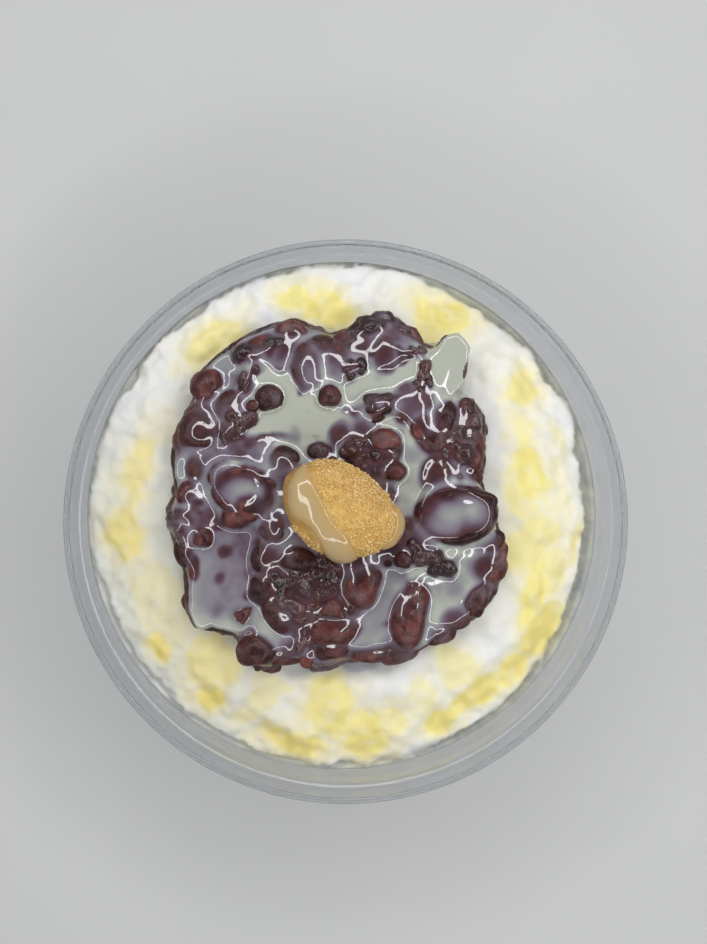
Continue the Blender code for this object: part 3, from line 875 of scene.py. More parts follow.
def shard_template(name):
    """A three-cornered scrap with one raised ridge."""
    bpy.ops.mesh.primitive_ico_sphere_add(subdivisions=4, radius=1.0, location=(0, 0, 0))
    shard = start_piece(name)
    for x, y in ((1.0, 0.0), (-0.5, 0.85), (-0.5, -0.85)):
        nudge(shard, (x, y, 0.0), (0.55 * x, 0.55 * y, 0.1), 0.7)
    nudge(shard, (-0.1, 0.1, 1.0), (0.0, 0.0, -0.35), 0.5)
    wrinkle(shard, 0.5, 0.3)
    to_unit_box(shard)
    return shard


whole_bean = bean_template("whole_bean", 4, 0.32)
buried_bean = bean_template("buried_bean", 3, 0.25)
open_skin = skin_template("open_skin")
clumps = [clump_template(f"clump_{number}", 16, 30 + number) for number in range(3)]
shard = shard_template("shard")
templates = [whole_bean, buried_bean, open_skin, shard] + clumps
print({template.name: triangles(template) for template in templates})

# %% [markdown]
# ## The paste under the beans
# The paste is drawn up like the ice: a blunt edge, then rings towards the middle. Each ring's vertices
# are pulled out to the mound's outline and set to the paste's height: close under the beans' tops where
# they are packed, and 3 mm lower in the hollows, with a crushed grain pressed into it.

# %% Paste
PASTE_STEPS = 480
OUTLINE_R, BLANK_TOP = 41.5 * MM, 2.6 * MM     # where the outline would be on the round blank, and its top
paste_rings = [(20 * MM, 0.0), (40 * MM, 0.0), (40.6 * MM, 0.8 * MM), (40.8 * MM, 1.6 * MM)]
paste_rings += [(r, BLANK_TOP) for r in np.linspace(40.2 * MM, 9 * MM, 84)] + [(4 * MM, BLANK_TOP)]
paste = drawn_up("bean_paste", paste_rings, PASTE_STEPS)
points = positions(paste)
angle = np.arctan2(points[:, 1], points[:, 0])
share = np.hypot(points[:, 0], points[:, 1]) / OUTLINE_R
reach = np.interp(angle, edge_angles, edge_radii, period=math.tau)
x, y = HEAP_X + share * reach * np.cos(angle), HEAP_Y + share * reach * np.sin(angle)
on_top = points[:, 2] > BLANK_TOP - 0.1 * MM
flat = in_plan(x, y)
hollow, _ = pools(x, y)
mash_wander = 0.8 * rough(flat, 3 * MM, 2, 20.0)
mash = np.max([hollow_mask(x, y, row, mash_wander) for row in MASH], axis=0) * (1 - hollow)
depth = (1.0 * MM + 2.4 * MM * hollow - 1.5 * MM * mash) * (1 - share ** 6)
grain = 0.55 * MM * rough(flat, 3.2 * MM, 3, 21.0) + 0.2 * MM * rough(flat, 1.0 * MM, 2, 22.0)
grain += mash * (0.7 * MM * np.abs(rough(flat, 2.6 * MM, 2, 24.0)) - 0.2 * MM)
z = np.where(on_top, mound_height(x, y) - depth + grain * (1 - share ** 8), heap_base + points[:, 2])
move_to(paste, np.column_stack((x, y, z)))
store(paste, "copy", 0.5 + 0.5 * rough(flat, 4 * MM, 2, 23.0))
smooth_shade(paste)
print("paste:", triangles(paste), "triangles")

# %% [markdown]
# ## Laying the beans
# The beans that stand out of the milk are laid one by one: kind, place, length, width, turn, and how far
# they stand above the mound. Seeded dice then fill the space under the milk, where beans show only as
# soft dark spots, and set a row along the edge, where they give the mound its knobbly outline.

# %% Beans that show
# x, y, length and width in mm, turn in degrees, and height above the mound's surface in mm.
WHOLE_BEANS = [
    (24.3, 32.3, 6.5, 5, 60, 1.6),
    (-34.3, 33.9, 8.8, 8.0, 60, 2.2), (-35.6, 23, 11.4, 11, 0, 2.4), (-13.5, 47.2, 8.5, 5.5, 0, 1.2),
    (-9.5, 37.5, 13, 8.5, 100, 1.3), (-18.4, 30.6, 7.2, 6.4, 20, 1.8), (-22.3, 28.5, 3.4, 3, 0, 1.2),
    (-3.7, 31, 5.8, 5.4, 0, 1.7), (-23.5, 4, 14, 9, 20, 1.9), (-30.2, 12, 8, 6, 60, 1.4),
    (-14.9, 15.4, 8, 7.5, 30, 1.2), (-38.1, 7.3, 6.8, 6.4, 0, 1.8), (4.2, 43.8, 8, 5.5, 20, 0.2),
    (23.7, 25.6, 9.5, 7, 75, 1.5), (31.1, 16, 7.5, 6, 80, 1.7), (31, 11.4, 5.5, 5, 0, 1.4),
    (9.8, 20.3, 7.4, 5.6, 0, 1.9), (12.1, 12.8, 5.4, 5, 0, 1.9), (14, -8.6, 4.6, 4.4, 0, 1.6),
    (15.5, -21.5, 18.5, 10, 80, 1.4), (32.3, -18.8, 9, 6, 70, 1.6), (38.6, -7.7, 6, 3.2, 80, 1.0),
    (35, 1, 10, 5, 80, 1.3), (23.5, -27.2, 8.5, 6.5, 20, 0.9), (3.5, -14.4, 12.5, 10.5, 75, 2.0),
    (-3.2, -30.4, 8.5, 6.6, 10, 1.3), (-39.5, -7, 9, 6, 100, 1.0), (-34.5, -3.3, 5, 5, 0, 1.5),
    (-21.8, -31.2, 10.5, 8.6, 5, 1.8), (-9.5, -33.6, 4.6, 4, 60, 0.9),
    (-17.3, -0.6, 8.5, 7, 80, 1.7), (-11.2, -8.4, 9.5, 6.5, -10, 1.7), (-3, -20, 6, 5.5, 0, 1.6)]
SUNK_BEANS = [
    (-22.3, 19.5, 8, 5, 10, -1.3), (-6, 17.8, 7, 4.5, 0, -1.4), (-1.4, 21.5, 9, 7, 80, -1.5),
    (4.7, 23, 9, 7, 0, -1.2), (18, 24, 7.5, 4.8, 80, 1.3), (-29.3, -6.7, 4.5, 3.5, 30, -2.0),
    (-30.7, -13.4, 4, 3, 60, -2.0), (-31.2, -21, 5, 3.2, 60, -1.9), (-23.6, -17.7, 3.2, 2.6, 0, -1.9),
    (-37, -11, 7, 3, 85, 0.7)]
OPEN_SKINS = [
    (26.7, 2.2, 21, 15.5, 3, 2.4), (-24.5, 8.0, 16, 13, -10, 1.7), (25.2, 38.3, 15.8, 10.0, 75, -0.3)]
CLUMPS = [
    (-20.7, 40.6, 11, 7.5, 15, 1.3), (-25.2, 24.6, 6.5, 5.5, 0, 1.5), (-28.7, 21.4, 4.5, 4, 0, 0.9),
    (-37.4, 2.2, 7, 5, 30, 1.6), (-23.6, 34.2, 8, 4, 75, 1.2), (8, 47.5, 13, 7.5, 5, 1.7),
    (14.3, 41, 6, 4.5, -10, 1.5), (18.8, 40, 5, 3.2, -60, 1.3), (19.4, 36, 6, 3, 80, 1.4),
    (18.6, 32.6, 5, 4.2, 60, 1.4), (1.5, 37.4, 6.5, 4.2, 10, 1.2), (30.2, 25.6, 8, 5.5, 80, 1.6),
    (26, 17, 8.5, 5.5, -20, 1.4), (25.5, 12, 5.5, 4.5, 0, 1.0), (2.4, 17.4, 6.5, 5, 0, 1.6),
    (8.2, 16, 7.5, 6, 0, 1.2), (5, 13.5, 4.5, 4, 0, 1.0), (18.3, -7.6, 7.5, 4.2, -35, 1.5),
    (22.8, -10.2, 6.5, 5, -40, 1.5), (-0.5, -20.5, 5, 4.5, 0, 1.2), (-38.6, -1.8, 9, 8, 0, 1.7),
    (-9.8, -27.9, 6.5, 3.6, 80, 1.3), (-6, -12.2, 8, 6, 0, 1.4), (-14.5, -14.5, 8, 7, 0, 1.4),
    (-10.2, -20.6, 11, 6.5, 0, 1.7), (-8.5, -15.5, 8, 7, 0, 1.5)]
SHARDS = [(9.8, 29, 11, 7.5, 20, 1.6), (-24.5, -22, 5, 3.6, 40, 1.3), (-20, 11, 6, 6, 0, 1.3)]
print(len(WHOLE_BEANS), "whole,", len(OPEN_SKINS), "fallen in,", len(CLUMPS), "crushed")

# %% Lay the beans that show
PROUDER = 0.5       # every bean stands this much further out, in mm, than its row says


def lay(template, rows, tallness, dice):
    """Places for one kind: each lies with its top the given height above the mound."""
    places = []
    for x, y, length, width, turn, proud in rows:
        tall = max(tallness * width, 2.4) * MM
        top = float(mound_height(np.array([x * MM]), np.array([y * MM]))[0]) + (proud + PROUDER) * MM
        kind = dice.choice(template) if isinstance(template, list) else template
        tilt = (dice.uniform(-0.12, 0.12), dice.uniform(-0.12, 0.12))
        half = (length * MM / 2, width * MM / 2, tall / 2)
        places.append((kind, placed(x * MM, y * MM, top - tall / 2, half, math.radians(turn), tilt)))
    return places


bean_dice = random.Random(8)
whole_places = lay(whole_bean, WHOLE_BEANS, 0.78, bean_dice) + lay(buried_bean, SUNK_BEANS, 0.75, bean_dice)
skin_places = lay(open_skin, OPEN_SKINS, 0.55, bean_dice)
clump_places = lay(clumps, [(x, y, 1.3 * length, 1.35 * width, turn, proud - 0.2)
                            for x, y, length, width, turn, proud in CLUMPS], 0.8, bean_dice)
shard_places = lay(shard, SHARDS, 0.7, bean_dice)
print("laid", len(whole_places + skin_places + clump_places + shard_places))

# %% Beans between and under the milk
laid_rows = WHOLE_BEANS + SUNK_BEANS + OPEN_SKINS + CLUMPS + SHARDS
taken = [(row[0], row[1], (row[2] + row[3]) / 4) for row in laid_rows]
tries = np.array([(bean_dice.uniform(-46, 40), bean_dice.uniform(-38, 54)) for _ in range(5000)])
try_ratio = heap_ratio(tries[:, 0] * MM, tries[:, 1] * MM)
try_hollow, _ = pools(tries[:, 0] * MM, tries[:, 1] * MM)
ROOM_TO_OUTLINE = 98        # in mm: twice the mound's widest reach, for a bean that just touches the outline
fill_rows = []
for (x, y), ratio, hollow_here in zip(tries, try_ratio, try_hollow):
    clear = min(math.hypot(x - other[0], y - other[1]) - other[2] for other in taken)
    if ratio > 0.92 or clear < (2.2 if hollow_here > 0.3 else 1.2):
        continue
    length = bean_dice.uniform(7.0, 9.0) if hollow_here > 0.3 else bean_dice.uniform(9.5, 14.5)
    length = min(length, ROOM_TO_OUTLINE * (1 - ratio))
    proud = bean_dice.uniform(-3.5, -2.5) if hollow_here > 0.3 else bean_dice.uniform(-0.6, 1.0)
    fill_rows.append((x, y, length, length * bean_dice.uniform(0.65, 0.85), bean_dice.uniform(0, 180), proud))
    taken.append((x, y, length / 2.4))
whole_places += lay(buried_bean, fill_rows, 0.7, bean_dice)
print(len(fill_rows), "beans between and under the milk")

# %% Beans along the edge
# Each is turned with the outline, and none lies where a pool reaches the edge.
edge_rows = []
around = 0.0
while around < math.tau:
    # The least reach of the stretch that a bean covers, so that none bridges a bay of the outline.
    stretch = around + np.linspace(-0.12, 0.12, 5)
    reach = float(np.interp(stretch, edge_angles, edge_radii, period=math.tau).min()) / MM
    length = bean_dice.uniform(9.0, 15.0)
    width = length * bean_dice.uniform(0.6, 0.85)
    out = reach - width * bean_dice.uniform(0.62, 0.85)
    x, y = HEAP_X / MM + out * math.cos(around), HEAP_Y / MM + out * math.sin(around)
    turn = math.degrees(around) + 90 + bean_dice.uniform(-30, 30)
    sink = bean_dice.uniform(-0.6, 0.5)
    if pools(np.array([x * MM]), np.array([y * MM]))[0][0] < 0.35:
        edge_rows.append((x, y, length, width, turn, sink))
    around += bean_dice.uniform(6.5, 13.0) / reach
print(len(edge_rows), "beans along the edge")

# %% Beans at the foot of the edge
foot_rows = []
around = 0.1
while around < math.tau + 0.1:
    reach = float(np.interp(around, edge_angles, edge_radii, period=math.tau)) / MM
    length = bean_dice.uniform(6.0, 10.0)
    out = reach - bean_dice.uniform(3.8, 5.0)
    x, y = HEAP_X / MM + out * math.cos(around), HEAP_Y / MM + out * math.sin(around)
    width = bean_dice.uniform(4.4, 6.4)
    turn = math.degrees(around) + 90 + bean_dice.uniform(-20, 20)
    foot_rows.append((x, y, length, width, turn, 0.0))
    around += bean_dice.uniform(5.0, 9.0) / reach
for kind, matrix in lay(buried_bean, foot_rows, 0.8, bean_dice):
    matrix.translation.z = heap_base + bean_dice.uniform(1.2, 2.2) * MM
    whole_places.append((kind, matrix))
for row, place in zip(edge_rows, lay(buried_bean, edge_rows, 0.85, bean_dice)):
    kind, matrix = place
    lift = heap_base + row[3] * 0.42 * MM - matrix.translation.z
    matrix.translation.z += max(0.0, lift)
    whole_places.append((kind, matrix))
print(len(foot_rows), "beans at the foot")

# %% Join the copies
whole_beans = joined_copies("whole_beans", whole_places)
skins = joined_copies("open_skins", skin_places)
crushed = joined_copies("crushed_beans", clump_places)
scraps = joined_copies("bean_scraps", shard_places)
remove(*templates)
bean_pieces = [whole_beans, skins, crushed, scraps]
print({piece.name: triangles(piece) for piece in bean_pieces})

# %% [markdown]
# Each bean gets creases of its own, pushed along its normals. A thin veil of milk clings to the beans
# in patches and greys their colour.

# %% Creases and veil


def crease_and_veil(piece, amount, size, seed):
    points = positions(piece)
    creases = amount * rough(points, size, 3, seed)
    move_to(piece, points + normals(piece) * creases[:, None])
    patchy = rough(points, 5 * MM, 3, seed + 0.5)
    at_edge = ease(0.80, 0.97, heap_ratio(points[:, 0], points[:, 1]))
    store(piece, "veil", np.maximum(ease(0.05, 0.9, patchy), 1.3 * at_edge * ease(-0.1, 0.6, patchy)))
    store(piece, "crease", np.clip(0.5 + 0.5 * creases / amount, 0.0, 1.0))


for number, (piece, amount, size) in enumerate(
        ((whole_beans, 0.17 * MM, 2.0 * MM), (skins, 0.12 * MM, 2.4 * MM), (crushed, 0.26 * MM, 1.6 * MM),
         (scraps, 0.22 * MM, 1.8 * MM), (paste, 0.2 * MM, 1.2 * MM))):
    crease_and_veil(piece, amount, size, 40.0 + 3 * number)
    print(piece.name, "creased", round(amount / MM, 2), "mm deep")

# %% [markdown]
# Boiled adzuki skin is dark red-brown, mottled, and wet with syrup: a base with two sizes of crease and
# a coat over them. Crushed beans and paste are darker and glossier. Every bean has a tone of its own,
# from the number that was stored with its copy.

# %% Bean finish


def bean_finish(name, dark, light, roughness, fine, gloss):
    """Dark skin mottled to light, toned for each bean, veiled, and creased by two sizes of bump."""
    finish, shader = new_finish(name, IOR=1.45, Subsurface_Weight=0.0)
    skin = ramp(finish, noise_pattern(finish, 3.0 * MM, 4.0), [(0.32, dark), (0.68, light)])
    own = ramp(finish, attribute(finish, "copy"), [
        (0.0, (0.45, 0.42, 0.48)), (0.5, (0.95, 0.95, 1.0)), (1.0, (1.45, 1.25, 1.05))])
    toned = add_node(finish, "ShaderNodeMix", data_type="RGBA", blend_type="MULTIPLY")
    toned.inputs["Factor"].default_value = 1.0
    link(finish, skin, toned.inputs[6])
    link(finish, own, toned.inputs[7])
    veiled = blend_colors(finish, arithmetic(finish, "MULTIPLY", attribute(finish, "veil"), 0.35),
                          toned.outputs[2], (0.22, 0.16, 0.19))
    link(finish, veiled, shader.inputs["Base Color"])
    shader.inputs["Roughness"].default_value = roughness
    shader.inputs["Coat Weight"].default_value = gloss
    shader.inputs["Coat Roughness"].default_value = 0.08
    shader.inputs["Specular IOR Level"].default_value = 0.18
    coarse = add_bump(finish, shader, noise_pattern(finish, 1.3 * MM, 3.0), 0.25 * MM, 1.0)
    fine_creases = noise_pattern(finish, fine, 2.0)
    fine_bump = add_bump(finish, shader, fine_creases, 0.10 * MM, 0.5 + 0.4 * gloss, coarse)
    link(finish, fine_bump, shader.inputs["Coat Normal"])
    return finish


bean_skin = bean_finish("bean_skin", (0.030, 0.009, 0.010), (0.145, 0.048, 0.044), 0.45, 0.60 * MM, 0.28)
bean_crush = bean_finish("bean_crush", (0.026, 0.009, 0.010), (0.090, 0.035, 0.034), 0.40, 0.75 * MM, 0.9)
for piece, finish in ((whole_beans, bean_skin), (skins, bean_skin), (scraps, bean_skin),
                      (crushed, bean_crush), (paste, bean_crush)):
    dress(piece, finish)
    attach(piece, "root")
    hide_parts("red_beans")
print("bean finishes:", bean_skin.name, bean_crush.name)

# %% [markdown]
# ## The condensed milk
# Poured milk fills the hollows, creeps a little up every bean and draws a film over the low ones. A
# grid is dropped on the beans with a Shrinkwrap modifier, like cloth. The milk is then the softened
# maximum of two heights, the beans' and the level's: it is flat in the pools and curls up where they
# meet. Where no milk would lie on the beans the grid is cut away, and the sheet is closed underneath.

# %% Drop a grid on the beans
GRID_STEP = 0.35 * MM
GRID_X, GRID_Y = (-48 * MM, 42 * MM), (-40 * MM, 56 * MM)
DROP_FROM_Z = RIM_Z + 30 * MM
columns = int((GRID_X[1] - GRID_X[0]) / GRID_STEP) + 1
rows = int((GRID_Y[1] - GRID_Y[0]) / GRID_STEP) + 1
bpy.ops.mesh.primitive_grid_add(x_subdivisions=columns - 1, y_subdivisions=rows - 1, size=1.0)
film = start_piece("milk_film")
lookup = positions(film)
spots = np.column_stack((np.interp(lookup[:, 0], (-0.5, 0.5), GRID_X),
                         np.interp(lookup[:, 1], (-0.5, 0.5), GRID_Y),
                         np.full(len(lookup), DROP_FROM_Z)))
move_to(film, spots)
solid_copies = []
for piece in bean_pieces + [paste]:
    twin = piece.copy()
    twin.data = piece.data.copy()
    bpy.context.scene.collection.objects.link(twin)
    solid_copies.append(twin)
only(*solid_copies)
bpy.ops.object.join()
solid = start_piece("everything_solid")
drop = film.modifiers.new("drop", "SHRINKWRAP")
drop.target = solid
drop.wrap_method = "PROJECT"
drop.use_project_z = True
drop.use_negative_direction = True
drop.use_positive_direction = False
apply_modifiers(film)
remove(solid)
spots = positions(film)
missed = spots[:, 2] > DROP_FROM_Z - 5 * MM
spots[missed, 2] = heap_base - 2 * MM
print("film grid", columns, "x", rows, "- missed", int(missed.sum()))

# %% Reading and averaging the grid
order = np.lexsort((spots[:, 0].round(6), spots[:, 1].round(6)))
across, along = spots[:, 0].copy(), spots[:, 1].copy()


def as_grid(values):
    """One value for each vertex, laid out in the grid's rows and columns."""
    return values[order].reshape(rows, columns)


def grid_mask(row):
    return as_grid(hollow_mask(across, along, row, 0.0))


def blurred(grid, times):
    """Average each height with its neighbours, over and over."""
    for _ in range(times):
        for axis in (0, 1):
            before, after = np.roll(grid, 1, axis), np.roll(grid, -1, axis)
            grid = 0.25 * before + 0.5 * grid + 0.25 * after
    return grid


print("grid holds", as_grid(across).size, "heights")

# %% Measures of the milk
# The curl is wide in some places and almost nothing in others, so the light draws broken lines.
MENISCUS = 2.4 * MM
# How often heights are averaged: for the drape over low beans, for the beans as they are, for the film
# that rounds them off, and for the finished surface.
DRAPE_BLUR, CLOSE_BLUR, FILM_BLUR, LAST_BLUR = 40, 4, 10, 5
OUTLINE_FALL = 4 * MM       # how far the drape falls at the mound's outline
CLIFF_DROP = 1.0 * MM       # how far it draws back from the beans' steep outer sides
FULL_DEPTH = 2.5 * MM       # milk this deep hides all that is under it
SHEET = 0.25 * MM
# Where melted ice has thinned the milk: x, y and radius in mm, and the share of its whiteness lost.
# A share below zero is where it stayed thick.
THIN_MILK = [
    (-30, -12, 12, 0.4), (6, -27, 10, 0.4), (-11, 26, 11, -0.8), (9, 34, 9, -0.4), (25.5, 38.8, 8, -3.0),
    (25.7, 3, 7, -0.5), (-26, 9.5, 5, -0.4)]
# Where the film on the beans is heavier, or below zero has run off: ellipses as above, and mm added.
COAT = [
    (-34.3, 33.9, 4.4, 4.2, 0, -1.3), (-35.6, 23, 5.8, 5.6, 0, -1.3), (-21.8, -31.2, 5.5, 4.5, 0, -1.3),
    (-3.2, -30.4, 4.5, 3.5, 0, -1.3), (15, -15, 3, 3, 80, -0.6), (32, 19, 4, 6, 0, -0.7),
    (25.5, 38.8, 10, 8, 75, 0.8), (26.7, 2.2, 11.5, 8.5, 3, 0.9), (36, -6, 9, 3.5, 80, 0.6),
    (30, -22, 8, 4, 45, 0.5), (-39, -18, 9, 3, 90, 0.6)]
print("curl", round(MENISCUS / MM, 1), "mm;", len(COAT), "places with more or less film")

# %% Heights of the beans, the pools and the drape
solid_z = as_grid(spots[:, 2])
level = as_grid(milk_level(across, along))
ratio = as_grid(heap_ratio(across, along))
coat = as_grid(rough(in_plan(across, along), 9 * MM, 3, 61.0))
heavier = 0.7 * np.clip(coat, -0.8, 0.8) - 0.5 + 0.3 * ease(0.72, 0.86, ratio)
for *row, extra in COAT:
    heavier += extra * grid_mask(row)
draped = blurred(solid_z, DRAPE_BLUR) + heavier * MM
level = np.maximum(level, draped - OUTLINE_FALL * ease(0.94, 1.02, ratio))
mash_here = np.max([grid_mask(row) for row in MASH], axis=0)
closer_z = blurred(solid_z, CLOSE_BLUR)
soft_z = blurred(closer_z, FILM_BLUR) * (1 - mash_here) + (closer_z - 0.35 * MM) * mash_here + 0.10 * MM
print("cells under a pool or drape:", int((level > soft_z).sum()))

# %% Curl the milk up where it meets the beans
curl_noise = as_grid(rough(in_plan(across, along), 12 * MM, 1, 62.0))
curl = MENISCUS * np.clip(1 + 1.2 * curl_noise, 0.3, 1.5)
curl *= 1 - 0.6 * ease(0.7, 1.0, as_grid(pools(across, along)[0]))
brim = grid_mask(BRIM_FULL)
curl *= 1 - 0.9 * brim
closeness = np.clip(1 - np.abs(soft_z - level) / curl, 0.0, 1.0)
film_z = blurred(np.maximum(soft_z, level) + closeness ** 2 * curl / 4, LAST_BLUR) - 0.10 * MM
steep = np.hypot(*np.gradient(film_z, GRID_STEP))
cliff = ease(1.8, 3.0, blurred(steep, 2)) * ease(0.90, 0.96, ratio)
film_z -= CLIFF_DROP * cliff * (1 - brim)
print("highest milk:", round(float(film_z.max() - RIM_Z) / MM, 1), "mm over the rim")

# %% Where milk lies, and how deep
thickness = film_z - solid_z
on_mound = (ratio < 1.0 + 0.05 * brim) & (cliff < 0.9) & (film_z > heap_base + 1.5 * MM)
wet = blurred(((thickness > 0) & on_mound).astype(float), 2) > 0.02
thin = np.zeros_like(film_z)
for thin_x, thin_y, thin_r, share in THIN_MILK:
    away = np.hypot(as_grid(across) - thin_x * MM, as_grid(along) - thin_y * MM)
    thin += share * ease(1.5 * thin_r * MM, 0.7 * thin_r * MM, away)
depth = blurred(np.clip(thickness, 0, 4 * MM), 2) * (1 - thin)
print("milk covers", round(float(wet[ratio < 1].mean()), 2), "of the mound")

# %% Cut and close the sheet
back = np.empty(len(spots), dtype=int)
back[order] = np.arange(len(spots))
spots[:, 2] = film_z.ravel()[back]
move_to(film, spots)
store(film, "depth", np.clip(depth.ravel()[back] / FULL_DEPTH, 0.0, 1.0))
keep = wet.ravel()[back]
only(film)
bpy.ops.object.mode_set(mode="EDIT")
bpy.ops.mesh.select_mode(type="VERT")
bpy.ops.mesh.select_all(action="DESELECT")
bpy.ops.object.mode_set(mode="OBJECT")
film.data.vertices.foreach_set("select", ~keep)
bpy.ops.object.mode_set(mode="EDIT")
bpy.ops.mesh.delete(type="VERT")
bpy.ops.mesh.select_all(action="SELECT")
bpy.ops.mesh.delete_loose(use_verts=True, use_edges=True, use_faces=False)
bpy.ops.mesh.select_all(action="SELECT")
bpy.ops.mesh.extrude_region_move(TRANSFORM_OT_translate={"value": (0, 0, -SHEET)})
bpy.ops.mesh.select_all(action="SELECT")
bpy.ops.mesh.normals_make_consistent(inside=False)
bpy.ops.object.mode_set(mode="OBJECT")
only(film)
bpy.ops.object.shade_smooth_by_angle(angle=math.radians(50))
print("film:", triangles(film), "triangles")

# %% [markdown]
# Condensed milk thinned by melted ice is cloudy: where it is deep it is an even pale grey, and where it
# is thin the beans show through, purple to brown. True scattering would be slow and noisy in so thin a
# sheet, so the colour follows the depth stored on it, and the surface is kept smooth enough to mirror.

# %% Milk finish
milk, milk_shader = new_finish("condensed_milk", Roughness=0.06, IOR=1.88)
bean_below = ramp(milk, noise_pattern(milk, 4.5 * MM, 3.0), [
    (0.35, (0.035, 0.012, 0.013)), (0.65, (0.105, 0.036, 0.036))])
cloud = ramp(milk, attribute(milk, "depth"), [
    (0.0, (0.10, 0.052, 0.076)), (0.18, (0.15, 0.099, 0.141)), (0.45, (0.256, 0.235, 0.278)),
    (0.68, (0.335, 0.34, 0.335)), (1.0, (0.50, 0.52, 0.445))])
milk_tone = blend_colors(milk, remap(milk, attribute(milk, "depth"), 0.0, 0.28), bean_below, cloud)
link(milk, milk_tone, milk_shader.inputs["Base Color"])
dress(film, milk)
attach(film, "root")
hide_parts("condensed_milk")
print("milk:", len(milk.node_tree.nodes), "nodes")

# %% [markdown]
# ## The rice cake
# The injeolmi is a soft block of pounded rice, torn off and rolled in roasted bean powder, so it has no
# flat face and no true corner. It is drawn up ring by ring as a rounded body, and its plan is then
# pulled to the shape of a torn lump: blunt at the back left, one long straight side, a narrow tip at the
# right. Dents and a sandy grain are pushed along its normals.

# %% Shape of the cake
CAKE_X, CAKE_Y = -0.3 * MM, 3.5 * MM
CAKE_BASE_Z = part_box("rice_cake")[0][2]
CAKE_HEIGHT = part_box("rice_cake")[1][2] - CAKE_BASE_Z - 0.3 * MM
CAKE_STEPS = 240
CAKE_BLANK_R = 10 * MM
# The plan, anticlockwise from the right-hand tip, in mm.
cake_plan = np.array([
    (13.6, 0.8), (12.9, 3.4), (10.9, 5.2), (8.3, 8.4), (5.4, 11.4), (1.5, 13.9), (-2.5, 15.1), (-6.5, 15.1),
    (-10.6, 13.8), (-13.6, 11.6), (-14.1, 8.0), (-13.7, 3.6), (-12.2, 0.6), (-9.0, -2.9), (-5.0, -6.1),
    (-2.5, -7.8), (-0.4, -8.3), (1.9, -7.7), (3.4, -6.8), (5.2, -6.4), (8.3, -5.5), (11.4, -4.1),
    (13.0, -1.8)])
plan_angles = np.arctan2(cake_plan[:, 1] - CAKE_Y / MM, cake_plan[:, 0] - CAKE_X / MM)
plan_radii = np.hypot(cake_plan[:, 1] - CAKE_Y / MM, cake_plan[:, 0] - CAKE_X / MM) * MM
SQUARENESS = 2.8
lean = np.radians(np.concatenate((np.linspace(-46, -10, 10), np.linspace(-6, 84, 46), [87.5])))
up_share = np.sign(np.sin(lean)) * np.abs(np.sin(lean)) ** (2 / SQUARENESS)
out_share = np.cos(lean) ** (2 / SQUARENESS)
foot = up_share[0]
cake_rings = [(out * CAKE_BLANK_R, (up - foot) / (1 - foot) * CAKE_HEIGHT)
              for out, up in zip(out_share, up_share)]
cake_rings = [(r, 0.0) for r in (2 * MM, 4 * MM, 6 * MM)] + cake_rings
cake = drawn_up("rice_cake_body", cake_rings, CAKE_STEPS)
points = positions(cake)
angle = np.arctan2(points[:, 1], points[:, 0])
fine = np.linspace(-math.pi, math.pi, 721)
by_angle = np.argsort(plan_angles)
radii = np.interp(fine, plan_angles[by_angle], plan_radii[by_angle], period=math.tau)
for _ in range(30):
    radii = 0.25 * np.roll(radii, 1) + 0.5 * radii + 0.25 * np.roll(radii, -1)
reach = np.hypot(points[:, 0], points[:, 1]) / CAKE_BLANK_R * np.interp(angle, fine, radii)
points = np.column_stack((CAKE_X + reach * np.cos(angle), CAKE_Y + reach * np.sin(angle),
                          CAKE_BASE_Z + points[:, 2]))
# The narrow tip has slumped a little.
upwards = (points[:, 2] - CAKE_BASE_Z) / CAKE_HEIGHT
points[:, 2] -= 0.8 * MM * ease(0, 12 * MM, points[:, 0] - CAKE_X) * ease(0.2, 1.0, upwards)
move_to(cake, points)
dents = 0.38 * MM * rough(points, 8 * MM, 2, 71.0)
move_to(cake, points + normals(cake) * dents[:, None])
print("cake:", triangles(cake), "triangles, box in mm",
      ((positions(cake).max(axis=0) - positions(cake).min(axis=0)) / MM).round(1))

# %% [markdown]
# Milk ran over the left end of the cake and down to its front, and a second drop hugs the right-hand
# tip. Both are the cake's own skin, copied and swollen outwards inside an outline; outside it the copy
# is drawn in under the surface, so that each run is one closed body with a rounded, wetting edge.

# %% Milk runs on the cake
# The outlines of the two runs in plan, in mm.
LEFT_RUN = [
    (-9.2, 15.2), (-6.9, 9.8), (-4.4, 4.9), (-2.3, 1.2), (0.2, -1.7), (1.9, -4.2), (3.2, -7.4), (1.6, -11),
    (-2.8, -11), (-4.6, -6.8), (-5.4, -3.8), (-7.4, -0.7), (-9.9, 1.3), (-12.0, 2.4), (-12.9, 5.0),
    (-13.1, 9.2), (-11.6, 12.3)]
RIGHT_RUN = [
    (9.8, 7.4), (11.0, 4.4), (11.6, 1.2), (10.8, -2.2), (8.6, -4.8), (7.2, -9), (12, -9), (17, -3), (17, 4),
    (13, 8)]


def inside_distance(x, y, outline):
    """Distance to an outline in mm: positive inside, negative outside."""
    corners = np.array(outline) * MM
    nearest = np.full(len(x), np.inf)
    inside = np.zeros(len(x), dtype=bool)
    for start, end in zip(corners, np.roll(corners, -1, axis=0)):
        run = end - start
        share = np.clip(((x - start[0]) * run[0] + (y - start[1]) * run[1]) / run.dot(run), 0, 1)
        nearest = np.minimum(nearest, np.hypot(x - start[0] - share * run[0], y - start[1] - share * run[1]))
        crosses = (start[1] > y) != (end[1] > y)
        height = run[1] if abs(run[1]) > 1e-12 else 1e-12
        inside ^= crosses & (x < start[0] + (y - start[1]) / height * run[0])
    return np.where(inside, nearest, -nearest) / MM


def cake_copy(name):
    twin = cake.copy()
    twin.data = cake.data.copy()
    twin.name = name
    twin.data.name = name
    bpy.context.scene.collection.objects.link(twin)
    return twin


